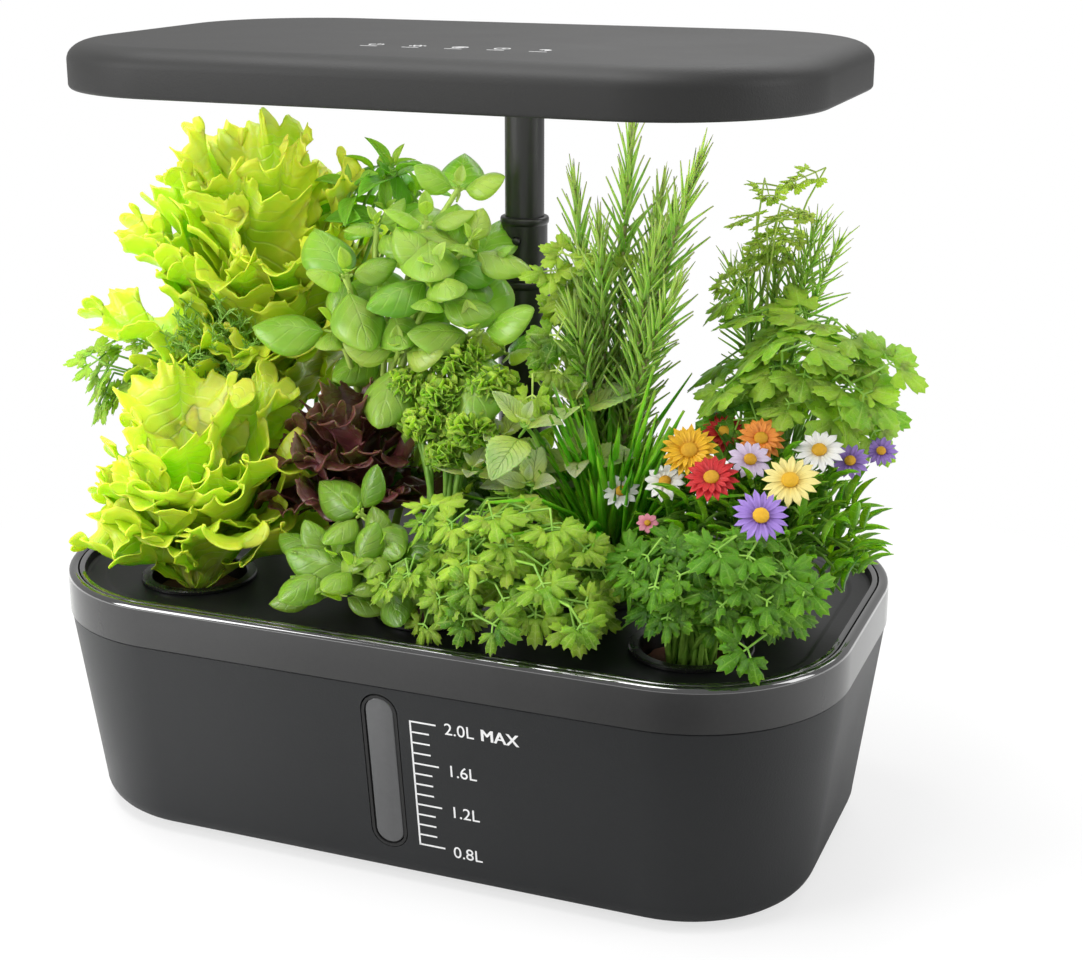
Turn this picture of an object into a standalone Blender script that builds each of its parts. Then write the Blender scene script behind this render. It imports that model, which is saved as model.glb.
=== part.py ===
"""A countertop hydroponic garden with its crop.

A tank of water carries a lift-off planting deck with seven pods. A three-stage mast stands in the
deck and holds an LED light head over the plants. Units are metres and +Z is up. The origin is on the
floor under the middle of the tank, +X runs along the tank to the right and -Y faces the front.
"""

import math

import bmesh
import bpy
from mathutils import Matrix, Vector

for leftover in list(bpy.data.objects):
    bpy.data.objects.remove(leftover, do_unlink=True)

# Fits that several pieces share.
gap = 0.0003
cut_overrun = 0.004
corner_steps = 5
small_corner_steps = 2
round_steps = 16
small_round_steps = 12

# The tank.
tank_length = 0.260
tank_width = 0.148
tank_height = 0.082
tank_corner = 0.0495
tank_wall = 0.0026
tank_floor = 0.0026
tank_draft_inset = 0.0080
tank_bottom_round = 0.0080
tank_seam_inset = 0.0004
tank_pad_inset = 0.0460
tank_pad_drop = 0.0006
foot_height = 0.0016
foot_radius = 0.0070
foot_rise_round = 0.0004
foot_from_middle_x = 0.088
foot_from_middle_y = 0.040

# The band round its top, and the spigot inside the band that carries the deck.
band_height = 0.0140
band_wall = 0.0019
band_lip_width = 0.0032
band_lip_round = 0.0016
spigot_wall = 0.0022
spigot_drop = 0.0060

# The level window in the front wall.
window_width = 0.0092
window_below_seam = 0.0040
window_above_base = 0.0114
window_depth = 0.0028
window_sunk = 0.0002
seal_wall = 0.0009
window_round_steps = 8

# The planting deck.
deck_drop = 0.0004
deck_lip_width = 0.0020
deck_lip_round = 0.0005
deck_sunk = 0.0042
deck_plate = 0.0020
deck_skirt_wall = 0.0018
deck_skirt_reach = 0.0060
deck_side_run = 0.0010
deck_step_inset = 0.0120
deck_step_run = 0.0020
deck_step_drop = 0.0007

# The seven pods.
pod_column_pitch = 0.084
pod_row_pitch = 0.035
pod_field_shift = 0.002
pod_place_shares = ((-1, -1), (0, -1), (1, -1), (-0.5, 0), (0.5, 0), (-1, 1), (1, 1))
pod_radius = 0.0165
pod_foot_radius = 0.0115
pod_depth = 0.0400
pod_wall = 0.0011
pod_flange_width = 0.0022
pod_flange_thickness = 0.0012
pod_slot_count = 4
pod_slot_width = 0.0028
pod_slot_from_top = 0.0150
pod_slot_to_floor = 0.0040
pod_drain_radius = 0.0050
sponge_clearance = 0.0008
sponge_sunk = 0.0055
sponge_height = 0.0260
sponge_crown = 0.0012

# The filler opening and its flap.
filler_x = 0.0400
filler_y = 0.0450
filler_length = 0.0260
filler_width = 0.0150
filler_corner = 0.0040
flap_thickness = 0.0016
flap_ledge = 0.0016
hinge_pin_radius = 0.0008
hinge_barrel_radius = 0.0016
hinge_ear_width = 0.0022
hinge_ear_rise = 0.0006
hinge_steps = 12

# The mast, from its top stage down.
mast_y = 0.044
tube_radius = 0.0065
tube_wall = 0.0010
tube_cap = 0.0012
sleeve_wall = 0.0008
socket_wall = 0.0011
stage_gap = 0.0003
stage_lip = 0.0005
stage_lip_height = 0.0024
sleeve_top = 0.189
socket_top = 0.168
sleeve_length = 0.102
tube_inside_sleeve = 0.082
tube_travel = 0.060
mast_steps = 22
socket_flange_width = 0.0050
socket_flange_thickness = 0.0016
socket_tail_wall = 0.0012
socket_tail_length = 0.0100
locknut_height = 0.0040
locknut_wall = 0.0035
locknut_steps = 24
snap_above_socket = 0.0135
snap_radius = 0.0014
snap_proud = 0.0007
snap_clearance = 0.0003
snap_dome = 0.0004
port_steps = 10
detent_count = 3

# The light head.
lamp_length = 0.234
lamp_width = 0.146
lamp_corner = 0.048
lamp_underside = 0.236
lamp_thickness = 0.0140
lamp_shoulder_run = 0.0085
lamp_shoulder_drop = 0.0056
lamp_edge_round = 0.0012
lamp_wall = 0.0020
tray_sunk = 0.0008
tray_thickness = 0.0018
tray_window_length = 0.176
tray_window_width = 0.084
tray_window_corner = 0.018
tray_window_shift = -0.015
led_board_margin = 0.0030
led_board_thickness = 0.0012
led_columns = 7
led_rows = 3
led_side = 0.0050
led_height = 0.0010
collar_wall = 0.0028
collar_height = 0.0030
tube_into_lamp = 0.0060
touch_board_length = 0.066
touch_board_width = 0.014
touch_board_thickness = 0.0012
touch_board_x = -0.002
touch_board_inset = 0.018
inlet_radius = 0.0026
inlet_bore_radius = 0.0019
inlet_pin_radius = 0.0006
inlet_length = 0.0090
inlet_floor = 0.0015
inlet_pin_sunk = 0.0010
inlet_x = 0.0300

# The circulation pump on the floor of the tank.
pump_y = 0.020
pump_length = 0.030
pump_width = 0.020
pump_height = 0.022
pump_corner = 0.004
chamber_radius = 0.0085
chamber_depth = 0.0080
shaft_radius = 0.0011
shaft_clearance = 0.0003
impeller_radius = 0.0072
impeller_thickness = 0.0060
impeller_hub_radius = 0.0030
impeller_blade_width = 0.0014
impeller_blades = 6
cover_radius = 0.0098
cover_thickness = 0.0016
cover_slot_width = 0.0016
cover_slot_corner = 0.0007
cover_slot_from_rim = 0.0020
cover_slots = 6
cover_hub_radius = 0.0024
riser_radius = 0.0035
riser_wall = 0.0008
riser_seat_depth = 0.0030
riser_below_deck = 0.0030

# Room that the plants keep to each other, to the lamp, to the mast and to the deck.
leaf_clearance = 0.0008
lamp_clearance = 0.0030
mast_clearance = 0.0016
rim_clearance = 0.0022
stem_radius = 0.0016
collar_radius = 0.0048
petiole_radius = 0.0006
wall_slip = 0.0003
leaf_thickness = 0.0009
leaf_smooth_angle = 60.0
squeeze_power = 6

# The plants. A row gives the pod, the root's place in shares of the sponge's radius, the heart of the
# foliage in shares of half the tank's length and width and of the growing room, and the foliage's reach
# as a share of the tank's width.
golden_turn = math.pi * (3 - math.sqrt(5))
plant_shares = {
    "lettuce_front_left": ("lettuce", 1, (0.0, 0.0), (-0.68, -0.50, 0.24), 0.280),
    "lettuce_back_left": ("tall_lettuce", 6, (-0.1, 0.1), (-0.76, 0.40, 0.57), 0.400),
    "red_lettuce": ("lettuce", 4, (0.0, -0.5), (-0.29, -0.20, 0.24), 0.190),
    "dill_left": ("dill", 6, (-0.5, -0.6), (-0.94, -0.08, 0.30), 0.150),
    "basil_back": ("broad_leaves", 4, (0.2, 0.5), (-0.20, 0.20, 0.54), 0.340),
    "thai_basil": ("small_leaves", 6, (0.5, 0.4), (-0.40, 0.66, 0.72), 0.150),
    "basil_front": ("broad_leaves", 2, (-0.6, -0.2), (-0.12, -0.60, 0.22), 0.180),
    "curly_parsley": ("curly_leaves", 2, (-0.1, 0.6), (-0.09, -0.10, 0.36), 0.190),
    "flat_parsley": ("lobed_leaves", 2, (0.6, -0.3), (0.20, -0.68, 0.15), 0.270),
    "mint": ("small_leaves", 5, (-0.5, -0.3), (0.20, -0.20, 0.33), 0.190),
    "rosemary": ("needles", 5, (0.1, 0.5), (0.35, 0.20, 0.64), 0.330),
    "chives": ("blades", 5, (0.5, -0.2), (0.37, -0.04, 0.28), 0.170),
    "coriander": ("cut_leaves", 7, (0.5, 0.1), (0.77, 0.30, 0.42), 0.290),
    "dill_right": ("tall_dill", 7, (-0.4, 0.5), (0.66, 0.66, 0.66), 0.210),
    "daisies": ("flowers", 7, (0.5, -0.6), (0.71, -0.10, 0.22), 0.300),
    "parsley_right": ("lobed_leaves", 3, (0.0, 0.0), (0.70, -0.64, 0.13), 0.240),
}

# How each kind of foliage grows: levels of the stem, lowest and highest slope of a limb in degrees,
# height of the foliage as a share of its reach, and half the width of a leaf as a share of the reach.
habits = {
    "dill": (3, 20, 66, 0.95, 0.18),
    "tall_dill": (3, 20, 66, 0.95, 0.18),
    "broad_leaves": (3, -10, 62, 0.95, 0.30),
    "small_leaves": (2, 0, 62, 0.85, 0.28),
    "curly_leaves": (3, 0, 66, 0.90, 0.28),
    "lobed_leaves": (3, 0, 58, 0.70, 0.26),
    "cut_leaves": (2, 0, 58, 0.70, 0.32),
    "needles": (2, 40, 78, 1.05, 0.14),
    "blades": (2, 50, 80, 1.05, 0.045),
    "flowers": (3, 5, 62, 0.60, 0.20),
}

# Where along its stem each kind of foliage starts and ends, as shares.
crown_shares = {
    "dill": (0.6, 1.0),
    "tall_dill": (0.2, 0.8),
    "broad_leaves": (0.2, 0.8),
    "small_leaves": (0.2, 0.8),
    "curly_leaves": (0.2, 0.8),
    "lobed_leaves": (0.4, 0.9),
    "cut_leaves": (0.4, 0.9),
    "needles": (0.2, 0.6),
    "blades": (0.2, 0.8),
    "flowers": (0.4, 0.9),
}

# Stations along a limb, and the half width there, both as shares; the depth shares are of the leaf's width.
limb_station_shares = {
    "dill": ((0.40, 0.02), (0.80, 1.0), (1.0, 0.3)),
    "tall_dill": ((0.40, 0.02), (0.80, 1.0), (1.0, 0.3)),
    "broad_leaves": ((0.30, 0.03), (0.55, 0.9), (0.80, 0.9), (1.0, 0.05)),
    "small_leaves": ((0.30, 0.05), (0.68, 1.0), (1.0, 0.05)),
    "curly_leaves": ((0.40, 0.10), (0.72, 1.0), (1.0, 0.6)),
    "lobed_leaves": ((0.40, 0.03), (0.70, 1.0), (0.84, 0.6), (1.0, 0.3)),
    "cut_leaves": ((0.40, 0.03), (0.70, 1.0), (0.84, 0.6), (1.0, 0.3)),
    "needles": ((0.30, 0.5), (0.62, 1.0), (0.88, 0.8), (1.0, 0.1)),
    "blades": ((0.50, 1.0), (1.0, 0.3)),
    "flowers": ((0.50, 0.06), (0.88, 0.10), (0.93, 1.0), (1.0, 0.8)),
}
limb_depth_shares = {
    "dill": 0.25,
    "tall_dill": 0.25,
    "curly_leaves": 0.6,
    "needles": 1.0,
    "blades": 0.6,
    "flowers": 0.8,
}

# A head of lettuce, ring by ring: radius and height as shares of the reach, and how far its frill waves.
lettuce_ring_shares = (
    (0.16, -0.62, 0.00),
    (0.30, -0.48, 0.03),
    (0.74, -0.34, 0.08),
    (1.00, -0.10, 0.14),
    (0.96, 0.02, 0.14),
    (0.66, 0.02, 0.08),
    (0.84, 0.34, 0.15),
    (0.76, 0.44, 0.15),
    (0.44, 0.32, 0.07),
    (0.52, 0.66, 0.16),
    (0.40, 0.74, 0.14),
    (0.14, 0.56, 0.05),
)
lettuce_height_shares = {"lettuce": 0.90, "tall_lettuce": 1.05}
lettuce_points = 18
lettuce_waves = 5
lettuce_slow_waves = 3
lettuce_slow_wave_share = 0.6
lettuce_ring_turn_share = 0.5
stem_sides = 5
stem_steps = 2
stem_taper_share = 0.4
stem_early_share = 1 / 3
stem_lean_share = 0.5
stem_slice_share = 0.02
limb_twist_share = 0.5
limb_bow_share = 0.10
limb_length_wave = 0.10
sector_share = 0.55

# Heights and insets that follow from these sizes.
tank_base = foot_height
seam_height = tank_height - band_height
window_height = seam_height - window_below_seam - tank_base - window_above_base
window_middle = tank_base + window_above_base + window_height / 2
spigot_inset = band_wall + gap
spigot_top = tank_height - spigot_drop
spigot_inner = spigot_inset + spigot_wall
deck_lip_top = tank_height - deck_drop
deck_lip_inset = band_lip_width + gap
deck_top = tank_height - deck_sunk
deck_underside = deck_top - deck_plate
deck_skirt_inset = spigot_inner + gap
sleeve_radius = tube_radius + stage_gap + sleeve_wall
socket_radius = sleeve_radius + stage_gap + socket_wall
socket_bore = sleeve_radius + stage_gap
sleeve_bore = tube_radius + stage_gap
sleeve_bottom = sleeve_top - sleeve_length
snap_height = socket_top + snap_above_socket
touch_board_y = (touch_board_width - lamp_width) / 2 + touch_board_inset
sleeve_floor = sleeve_bottom - gap
socket_tail_radius = socket_bore + socket_tail_wall
socket_flange_radius = socket_radius + socket_flange_width
tray_bottom = lamp_underside + tray_sunk
tray_top = tray_bottom + tray_thickness
lamp_top = lamp_underside + lamp_thickness
growing_room = lamp_underside - deck_top
foliage_floor = tank_height + rim_clearance
foliage_ceiling = lamp_underside - lamp_clearance
pod_rest = deck_top - deck_step_drop + gap
sponge_top = pod_rest + pod_flange_thickness - sponge_sunk
root_height = sponge_top + gap


def finish(name, colour, roughness, metallic=0.0):
    """A material with the piece's colour, roughness and metallic value."""
    material = bpy.data.materials.get(name) or bpy.data.materials.new(name)
    material.use_nodes = True
    shader = material.node_tree.nodes["Principled BSDF"]
    shader.inputs["Base Color"].default_value = (*colour, 1.0)
    shader.inputs["Roughness"].default_value = roughness
    shader.inputs["Metallic"].default_value = metallic
    return material


charcoal = finish("matte_charcoal_plastic", (0.028, 0.029, 0.030), 0.55)
glossy = finish("semi_gloss_black_plastic", (0.022, 0.022, 0.023), 0.24)
satin = finish("satin_black_metal", (0.018, 0.018, 0.019), 0.34)
smoked = finish("smoked_clear_plastic", (0.12, 0.12, 0.125), 0.22)
rubber = finish("black_rubber", (0.015, 0.015, 0.015), 0.80)
peat = finish("grow_medium", (0.11, 0.045, 0.025), 0.95)
steel = finish("bright_steel", (0.55, 0.55, 0.56), 0.30, 1.0)
board = finish("white_circuit_board", (0.80, 0.80, 0.78), 0.45)
pale_plastic = finish("pump_plastic", (0.09, 0.09, 0.10), 0.45)
leaf_light = finish("light_green_leaf", (0.32, 0.62, 0.04), 0.50)
leaf_green = finish("green_leaf", (0.10, 0.34, 0.03), 0.45)
leaf_grey = finish("grey_green_needle", (0.16, 0.30, 0.09), 0.55)
leaf_red = finish("red_leaf", (0.12, 0.012, 0.020), 0.50)
petals = finish("flower_petals", (0.75, 0.35, 0.10), 0.55)


def rounded(length, width, radius, steps=corner_steps):
    """The points of a rounded rectangle round the origin, counter-clockwise."""
    points = []
    for quarter, (side_x, side_y) in enumerate(((1, 1), (-1, 1), (-1, -1), (1, -1))):
        middle = Vector((side_x * (length / 2 - radius), side_y * (width / 2 - radius)))
        for step in range(steps + 1):
            turn = (quarter + step / steps) * math.pi / 2
            points.append(middle + radius * Vector((math.cos(turn), math.sin(turn))))
    return points


def capsule(width, height, steps=window_round_steps):
    """The points of an upright capsule round the origin, counter-clockwise."""
    points = []
    for half, lift in ((0, height / 2 - width / 2), (1, width / 2 - height / 2)):
        for step in range(steps + 1):
            turn = (half + step / steps) * math.pi
            points.append(Vector((width / 2 * math.cos(turn), lift + width / 2 * math.sin(turn))))
    return points


def circle(radius, steps):
    """The points of a circle round the origin, counter-clockwise."""
    turns = [2 * math.pi * step / steps for step in range(steps)]
    return [Vector((radius * math.cos(turn), radius * math.sin(turn))) for turn in turns]


def star(arms, inner_radius, outer_radius, arm_width):
    """A wheel of arms round a hub, counter-clockwise: two tip points and two root points to each arm."""
    points = []
    for arm in range(arms):
        along = Vector((math.cos(2 * math.pi * arm / arms), math.sin(2 * math.pi * arm / arms)))
        across = Vector((-along.y, along.x)) * arm_width / 2
        points.extend((along * inner_radius - across, along * outer_radius - across))
        points.extend((along * outer_radius + across, along * inner_radius + across))
    return points


def at_height(points, height):
    """A flat outline lifted to a height."""
    return [Vector((point.x, point.y, height)) for point in points]


def loft(rings, joined=False):
    """A closed skin through rings of points, with flat ends, or with its last ring joined to its first."""
    bm = bmesh.new()
    loops = [[bm.verts.new(point) for point in ring] for ring in rings]
    pairs = list(zip(loops, loops[1:]))
    if joined:
        pairs.append((loops[-1], loops[0]))
    for low, high in pairs:
        for here in range(len(low)):
            there = (here + 1) % len(low)
            bm.faces.new((low[here], low[there], high[there], high[here]))
    if not joined:
        bm.faces.new(list(reversed(loops[0])))
        bm.faces.new(loops[-1])
    return bm


def inset_loft(length, width, corner, profile, joined=False, middle=(0.0, 0.0)):
    """A loft of rounded rectangles: the profile gives each ring's inset from the outline and its height."""
    rings = []
    for inset, height in profile:
        outline = rounded(length - 2 * inset, width - 2 * inset, corner - inset)
        rings.append([Vector((point.x + middle[0], point.y + middle[1], height)) for point in outline])
    return loft(rings, joined)


def turned(profile, steps=round_steps, joined=False):
    """A turned piece round Z: the profile gives each ring's radius and height, up the outer side first."""
    return loft([at_height(circle(radius, steps), height) for radius, height in profile], joined)


def slab(outline, low, high):
    """An outline given thickness from one height to another."""
    return loft([at_height(outline, low), at_height(outline, high)])


def quarter_round(inset, height, run, rise, steps, rising_in):
    """Profile points round a quarter ellipse that starts upright at (inset, height) and rises inwards."""
    points = []
    for step in range(steps + 1):
        turn = step / steps * math.pi / 2
        if rising_in:
            points.append((inset + run * (1 - math.cos(turn)), height + rise * math.sin(turn)))
        else:
            points.append((inset - run * math.sin(turn), height + rise * (1 - math.cos(turn))))
    return points


def place(bm, matrix):
    """The mesh moved by a matrix, so that its place is in its points."""
    bmesh.ops.transform(bm, matrix=matrix, verts=bm.verts)
    return bm


def join(*meshes):
    """Meshes that don't touch, as one mesh."""
    joined = bmesh.new()
    for mesh in meshes:
        scratch = bpy.data.meshes.new("scratch")
        mesh.to_mesh(scratch)
        mesh.free()
        joined.from_mesh(scratch)
        bpy.data.meshes.remove(scratch)
    return joined


def piece(name, bm, material, parent=None, origin=(0.0, 0.0, 0.0), smooth=35.0):
    """A named object from a mesh in world coordinates, with its origin where it is asked for."""
    origin = Vector(origin)
    bmesh.ops.translate(bm, vec=-origin, verts=bm.verts)
    mesh = bpy.data.meshes.new(name)
    bm.to_mesh(mesh)
    bm.free()
    mesh.shade_smooth()
    mesh.set_sharp_from_angle(angle=math.radians(smooth))
    made = bpy.data.objects.new(name, mesh)
    bpy.context.scene.collection.objects.link(made)
    made.location = origin
    made.data.materials.append(material)
    if parent:
        made.parent = parent
        made.matrix_parent_inverse = Matrix.Translation(-parent.location)
    return made


def axis_empty(name, location, parent=None):
    """An empty on a joint's axis, which carries the pieces that move with the joint."""
    made = bpy.data.objects.new(name, None)
    bpy.context.scene.collection.objects.link(made)
    made.location = location
    if parent:
        made.parent = parent
        made.matrix_parent_inverse = Matrix.Translation(-parent.location)
    return made


def boolean(target, name, bm, operation="DIFFERENCE"):
    """A Boolean on the target by a hidden guide in world coordinates."""
    guide = piece(name, bm, charcoal)
    guide.hide_render = True
    guide.display_type = "WIRE"
    modifier = target.modifiers.new(name, "BOOLEAN")
    modifier.object = guide
    modifier.operation = operation
    modifier.solver = "EXACT"


along_y = Matrix.Rotation(-math.pi / 2, 4, "X")
deck_lift = axis_empty("deck_lift", (0.0, 0.0, deck_top))
hinge_y = filler_y + filler_width / 2 + hinge_barrel_radius
hinge_z = deck_top + hinge_ear_rise + hinge_barrel_radius
filler_hinge = axis_empty("filler_hinge", (filler_x, hinge_y, hinge_z), deck_lift)
sleeve_slide = axis_empty("sleeve_slide", (0.0, mast_y, socket_top), deck_lift)
tube_slide = axis_empty("tube_slide", (0.0, mast_y, sleeve_top), sleeve_slide)
pump_middle = tank_base + tank_floor + gap + pump_height / 2
impeller_spin = axis_empty("impeller_spin", (0.0, pump_y - pump_width / 2, pump_middle))
pod_places = [
    (column * pod_column_pitch, row * pod_row_pitch + pod_field_shift) for column, row in pod_place_shares
]


def wall_frame():
    """The front wall's own axes at the window: X, up the wall, and out of the wall."""
    rise = seam_height - tank_base - tank_bottom_round
    run = tank_draft_inset - tank_seam_inset
    lean = math.atan2(run, rise)
    up_share = (window_middle - tank_base - tank_bottom_round) / rise
    face_y = -(tank_width / 2 - tank_draft_inset) - run * up_share
    return Matrix.Translation((0.0, face_y, window_middle)) @ Matrix.Rotation(math.pi / 2 + lean, 4, "X")


def make_tank():
    """The tank: a drafted tub with a flat pad under it, a round lower edge and a spigot round its mouth."""
    outer = quarter_round(
        tank_draft_inset + tank_bottom_round, tank_base, tank_bottom_round, tank_bottom_round, 3, False
    )
    inner_round = tank_bottom_round - tank_wall
    inner = quarter_round(
        tank_draft_inset + tank_wall + inner_round, tank_base + tank_floor, inner_round, inner_round, 2, False
    )
    mouth = [
        (tank_seam_inset, seam_height),
        (spigot_inset, seam_height),
        (spigot_inset, spigot_top),
        (spigot_inner, spigot_top),
        (spigot_inner, seam_height),
    ]
    pad = [(tank_pad_inset, tank_base - tank_pad_drop), (tank_pad_inset, tank_base)]
    profile = pad + outer + mouth + list(reversed(inner))
    tank = piece("reservoir_tank", inset_loft(tank_length, tank_width, tank_corner, profile), charcoal)
    room = seal_wall + 2 * gap
    slot = capsule(window_width + 2 * room, window_height + 2 * room)
    cutter = slab(slot, -(spigot_inner + tank_wall + cut_overrun), cut_overrun)
    boolean(tank, "window_slot_cut", place(cutter, wall_frame()))


def make_band():
    """The band: a skirt outside the spigot with a thicker rolled lip over it."""
    top_round = quarter_round(0.0, tank_height - band_lip_round, band_lip_round, band_lip_round, 3, True)
    profile = [(0.0, seam_height + gap)] + top_round
    profile += [
        (band_lip_width, tank_height - band_lip_round / 2),
        (band_lip_width, spigot_top + gap),
        (band_wall, spigot_top + gap),
        (band_wall, seam_height + gap),
    ]
    piece("rim_band", inset_loft(tank_length, tank_width, tank_corner, profile, True), glossy)


def make_window():
    """The level window and the gasket round it, both in the slot of the front wall."""
    frame = wall_frame()
    pane = slab(capsule(window_width, window_height), -window_depth, -window_sunk)
    piece("level_window", place(pane, frame), smoked)
    outward = gap + seal_wall
    inner = capsule(window_width + 2 * gap, window_height + 2 * gap)
    outer = capsule(window_width + 2 * outward, window_height + 2 * outward)
    rings = [
        at_height(outer, -window_depth),
        at_height(outer, 0.0),
        at_height(inner, 0.0),
        at_height(inner, -window_depth),
    ]
    piece("window_seal", place(loft(rings, True), frame), rubber)


def make_feet():
    """Four round rubber feet under the tank."""
    top = tank_base - gap
    profile = [(foot_radius - foot_rise_round, 0.0), (foot_radius, foot_rise_round), (foot_radius, top)]
    for side_x, word_x in ((-1, "left"), (1, "right")):
        for side_y, word_y in ((-1, "front"), (1, "rear")):
            spot = Vector((side_x * foot_from_middle_x, side_y * foot_from_middle_y, 0.0))
            piece(f"foot_{word_y}_{word_x}", place(turned(profile), Matrix.Translation(spot)), rubber)


def make_pump():
    """The pump: a block with an impeller chamber in its front, a slotted cover and a riser pipe."""
    base = tank_base + tank_floor + gap
    body = slab(rounded(pump_length, pump_width, pump_corner, small_corner_steps), base, base + pump_height)
    front = Matrix.Translation((0.0, pump_y - pump_width / 2, pump_middle)) @ along_y
    block = piece("pump_body", place(body, Matrix.Translation((0.0, pump_y, 0.0))), pale_plastic)
    chamber = [
        (chamber_radius, -cut_overrun),
        (chamber_radius, chamber_depth),
        (shaft_radius, chamber_depth),
        (shaft_radius, -cut_overrun),
    ]
    boolean(block, "pump_chamber_cut", place(turned(chamber, joined=True), front))
    seat = turned([(riser_radius + gap, -riser_seat_depth), (riser_radius + gap, cut_overrun)])
    boolean(block, "riser_seat_cut", place(seat, Matrix.Translation((0.0, pump_y, base + pump_height))))

    wheel = star(impeller_blades, impeller_hub_radius, impeller_radius, impeller_blade_width)
    bore = circle(shaft_radius + shaft_clearance, len(wheel))
    near = gap + shaft_clearance
    far = near + impeller_thickness
    rings = [at_height(wheel, near), at_height(wheel, far), at_height(bore, far), at_height(bore, near)]
    spin = impeller_spin.location
    piece("pump_impeller", place(loft(rings, True), front), glossy, impeller_spin, spin)

    disc = turned([(cover_radius, -cover_thickness), (cover_radius, 0.0)])
    lid_front = Matrix.Translation((0.0, pump_y - pump_width / 2 - gap, pump_middle)) @ along_y
    lid = piece("pump_cover", place(disc, lid_front), pale_plastic)
    slots = []
    reach = cover_radius - cover_slot_from_rim
    for slot in range(cover_slots):
        strip = rounded(reach - cover_hub_radius, cover_slot_width, cover_slot_corner, small_corner_steps)
        cutter = slab(strip, -cover_thickness - cut_overrun, cut_overrun)
        turn = Matrix.Rotation(2 * math.pi * slot / cover_slots, 4, "Z")
        out = Matrix.Translation(((reach + cover_hub_radius) / 2, 0.0, 0.0))
        slots.append(place(cutter, lid_front @ turn @ out))
    boolean(lid, "pump_cover_slots_cut", join(*slots))

    low = base + pump_height - riser_seat_depth + gap
    high = deck_underside - riser_below_deck
    profile = [
        (riser_radius, low),
        (riser_radius, high),
        (riser_radius - riser_wall, high),
        (riser_radius - riser_wall, low),
    ]
    pipe = place(turned(profile, joined=True), Matrix.Translation((0.0, pump_y, 0.0)))
    piece("pump_riser", pipe, pale_plastic)


def make_deck():
    """The deck: a recessed plate with a lip on the spigot, holes for the pods and the mast, and a filler."""
    skirt_bottom = spigot_top - deck_skirt_reach
    ledge = spigot_top + gap
    lip_inner = deck_lip_inset + deck_lip_width
    step_out = deck_step_inset + deck_step_run
    profile = [
        (deck_step_inset, deck_underside - deck_step_drop),
        (deck_skirt_inset + deck_skirt_wall, deck_underside),
        (deck_skirt_inset + deck_skirt_wall, skirt_bottom),
        (deck_skirt_inset, skirt_bottom),
        (deck_skirt_inset, ledge),
        (deck_lip_inset, ledge),
        (deck_lip_inset, deck_lip_top - deck_lip_round),
        (deck_lip_inset + deck_lip_round, deck_lip_top),
        (lip_inner - deck_lip_round, deck_lip_top),
        (lip_inner, deck_lip_top - deck_lip_round),
        (lip_inner + deck_side_run, deck_top),
        (deck_step_inset, deck_top),
        (step_out, deck_top - deck_step_drop),
    ]
    plate = inset_loft(tank_length, tank_width, tank_corner, profile)
    deck = piece("planting_deck", plate, charcoal, deck_lift)

    barrel = filler_hinge.location
    ear_reach = filler_length / 2 + gap
    ears = []
    for side in (-1, 1):
        middle = Vector((filler_x + side * (ear_reach + hinge_ear_width / 2), barrel.y, 0.0))
        outline = rounded(hinge_ear_width, 2 * hinge_barrel_radius, hinge_ear_width / 4, small_corner_steps)
        ear = slab(outline, deck_underside - deck_step_drop + gap, barrel.z + hinge_barrel_radius)
        ears.append(place(ear, Matrix.Translation(middle)))
    boolean(deck, "hinge_ears_join", join(*ears), "UNION")

    low = deck_underside - cut_overrun
    high = deck_top + cut_overrun
    holes = []
    for pod_x, pod_y in pod_places:
        hole = slab(circle(pod_radius + gap, round_steps), low, high)
        holes.append(place(hole, Matrix.Translation((pod_x, pod_y, 0.0))))
    hole = slab(circle(socket_tail_radius + gap, round_steps), low, high)
    holes.append(place(hole, Matrix.Translation((0.0, mast_y, 0.0))))
    throat_length = filler_length - 2 * flap_ledge
    throat_width = filler_width - 2 * flap_ledge
    throat = rounded(throat_length, throat_width, filler_corner - flap_ledge, small_corner_steps)
    holes.append(place(slab(throat, low, high), Matrix.Translation((filler_x, filler_y, 0.0))))
    boolean(deck, "deck_holes_cut", join(*holes))
    bore = slab(circle(hinge_pin_radius + gap, hinge_steps), -filler_length, filler_length)
    along_x = Matrix.Translation(barrel) @ Matrix.Rotation(math.pi / 2, 4, "Y")
    boolean(deck, "hinge_pin_cut", place(bore, along_x))

    pin_reach = ear_reach + hinge_ear_width
    pin = slab(circle(hinge_pin_radius, hinge_steps), -pin_reach, pin_reach)
    piece("filler_hinge_pin", place(pin, along_x), steel, deck_lift, barrel)


def make_flap():
    """The filler flap: a plate over the opening, with a barrel on the hinge pin at its rear edge."""
    barrel = filler_hinge.location
    low = deck_top + gap
    outline = rounded(filler_length, filler_width, filler_corner, small_corner_steps)
    plate = slab(outline, low, low + flap_thickness)
    place(plate, Matrix.Translation((filler_x, filler_y, 0.0)))
    flap = piece("filler_flap", plate, charcoal, filler_hinge, barrel)
    half = filler_length / 2 - filler_corner
    knuckle = slab(circle(hinge_barrel_radius, hinge_steps), -half, half)
    along_x = Matrix.Translation(barrel) @ Matrix.Rotation(math.pi / 2, 4, "Y")
    boolean(flap, "flap_knuckle_join", place(knuckle, along_x), "UNION")
    web_outline = rounded(2 * half, 2 * hinge_barrel_radius, hinge_barrel_radius / 2, small_corner_steps)
    web = slab(web_outline, low, barrel.z)
    web_y = barrel.y - hinge_barrel_radius
    boolean(flap, "flap_web_join", place(web, Matrix.Translation((filler_x, web_y, 0.0))), "UNION")
    bore = slab(circle(hinge_pin_radius + gap, hinge_steps), -filler_length, filler_length)
    boolean(flap, "flap_bore_cut", place(bore, along_x))


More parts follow.
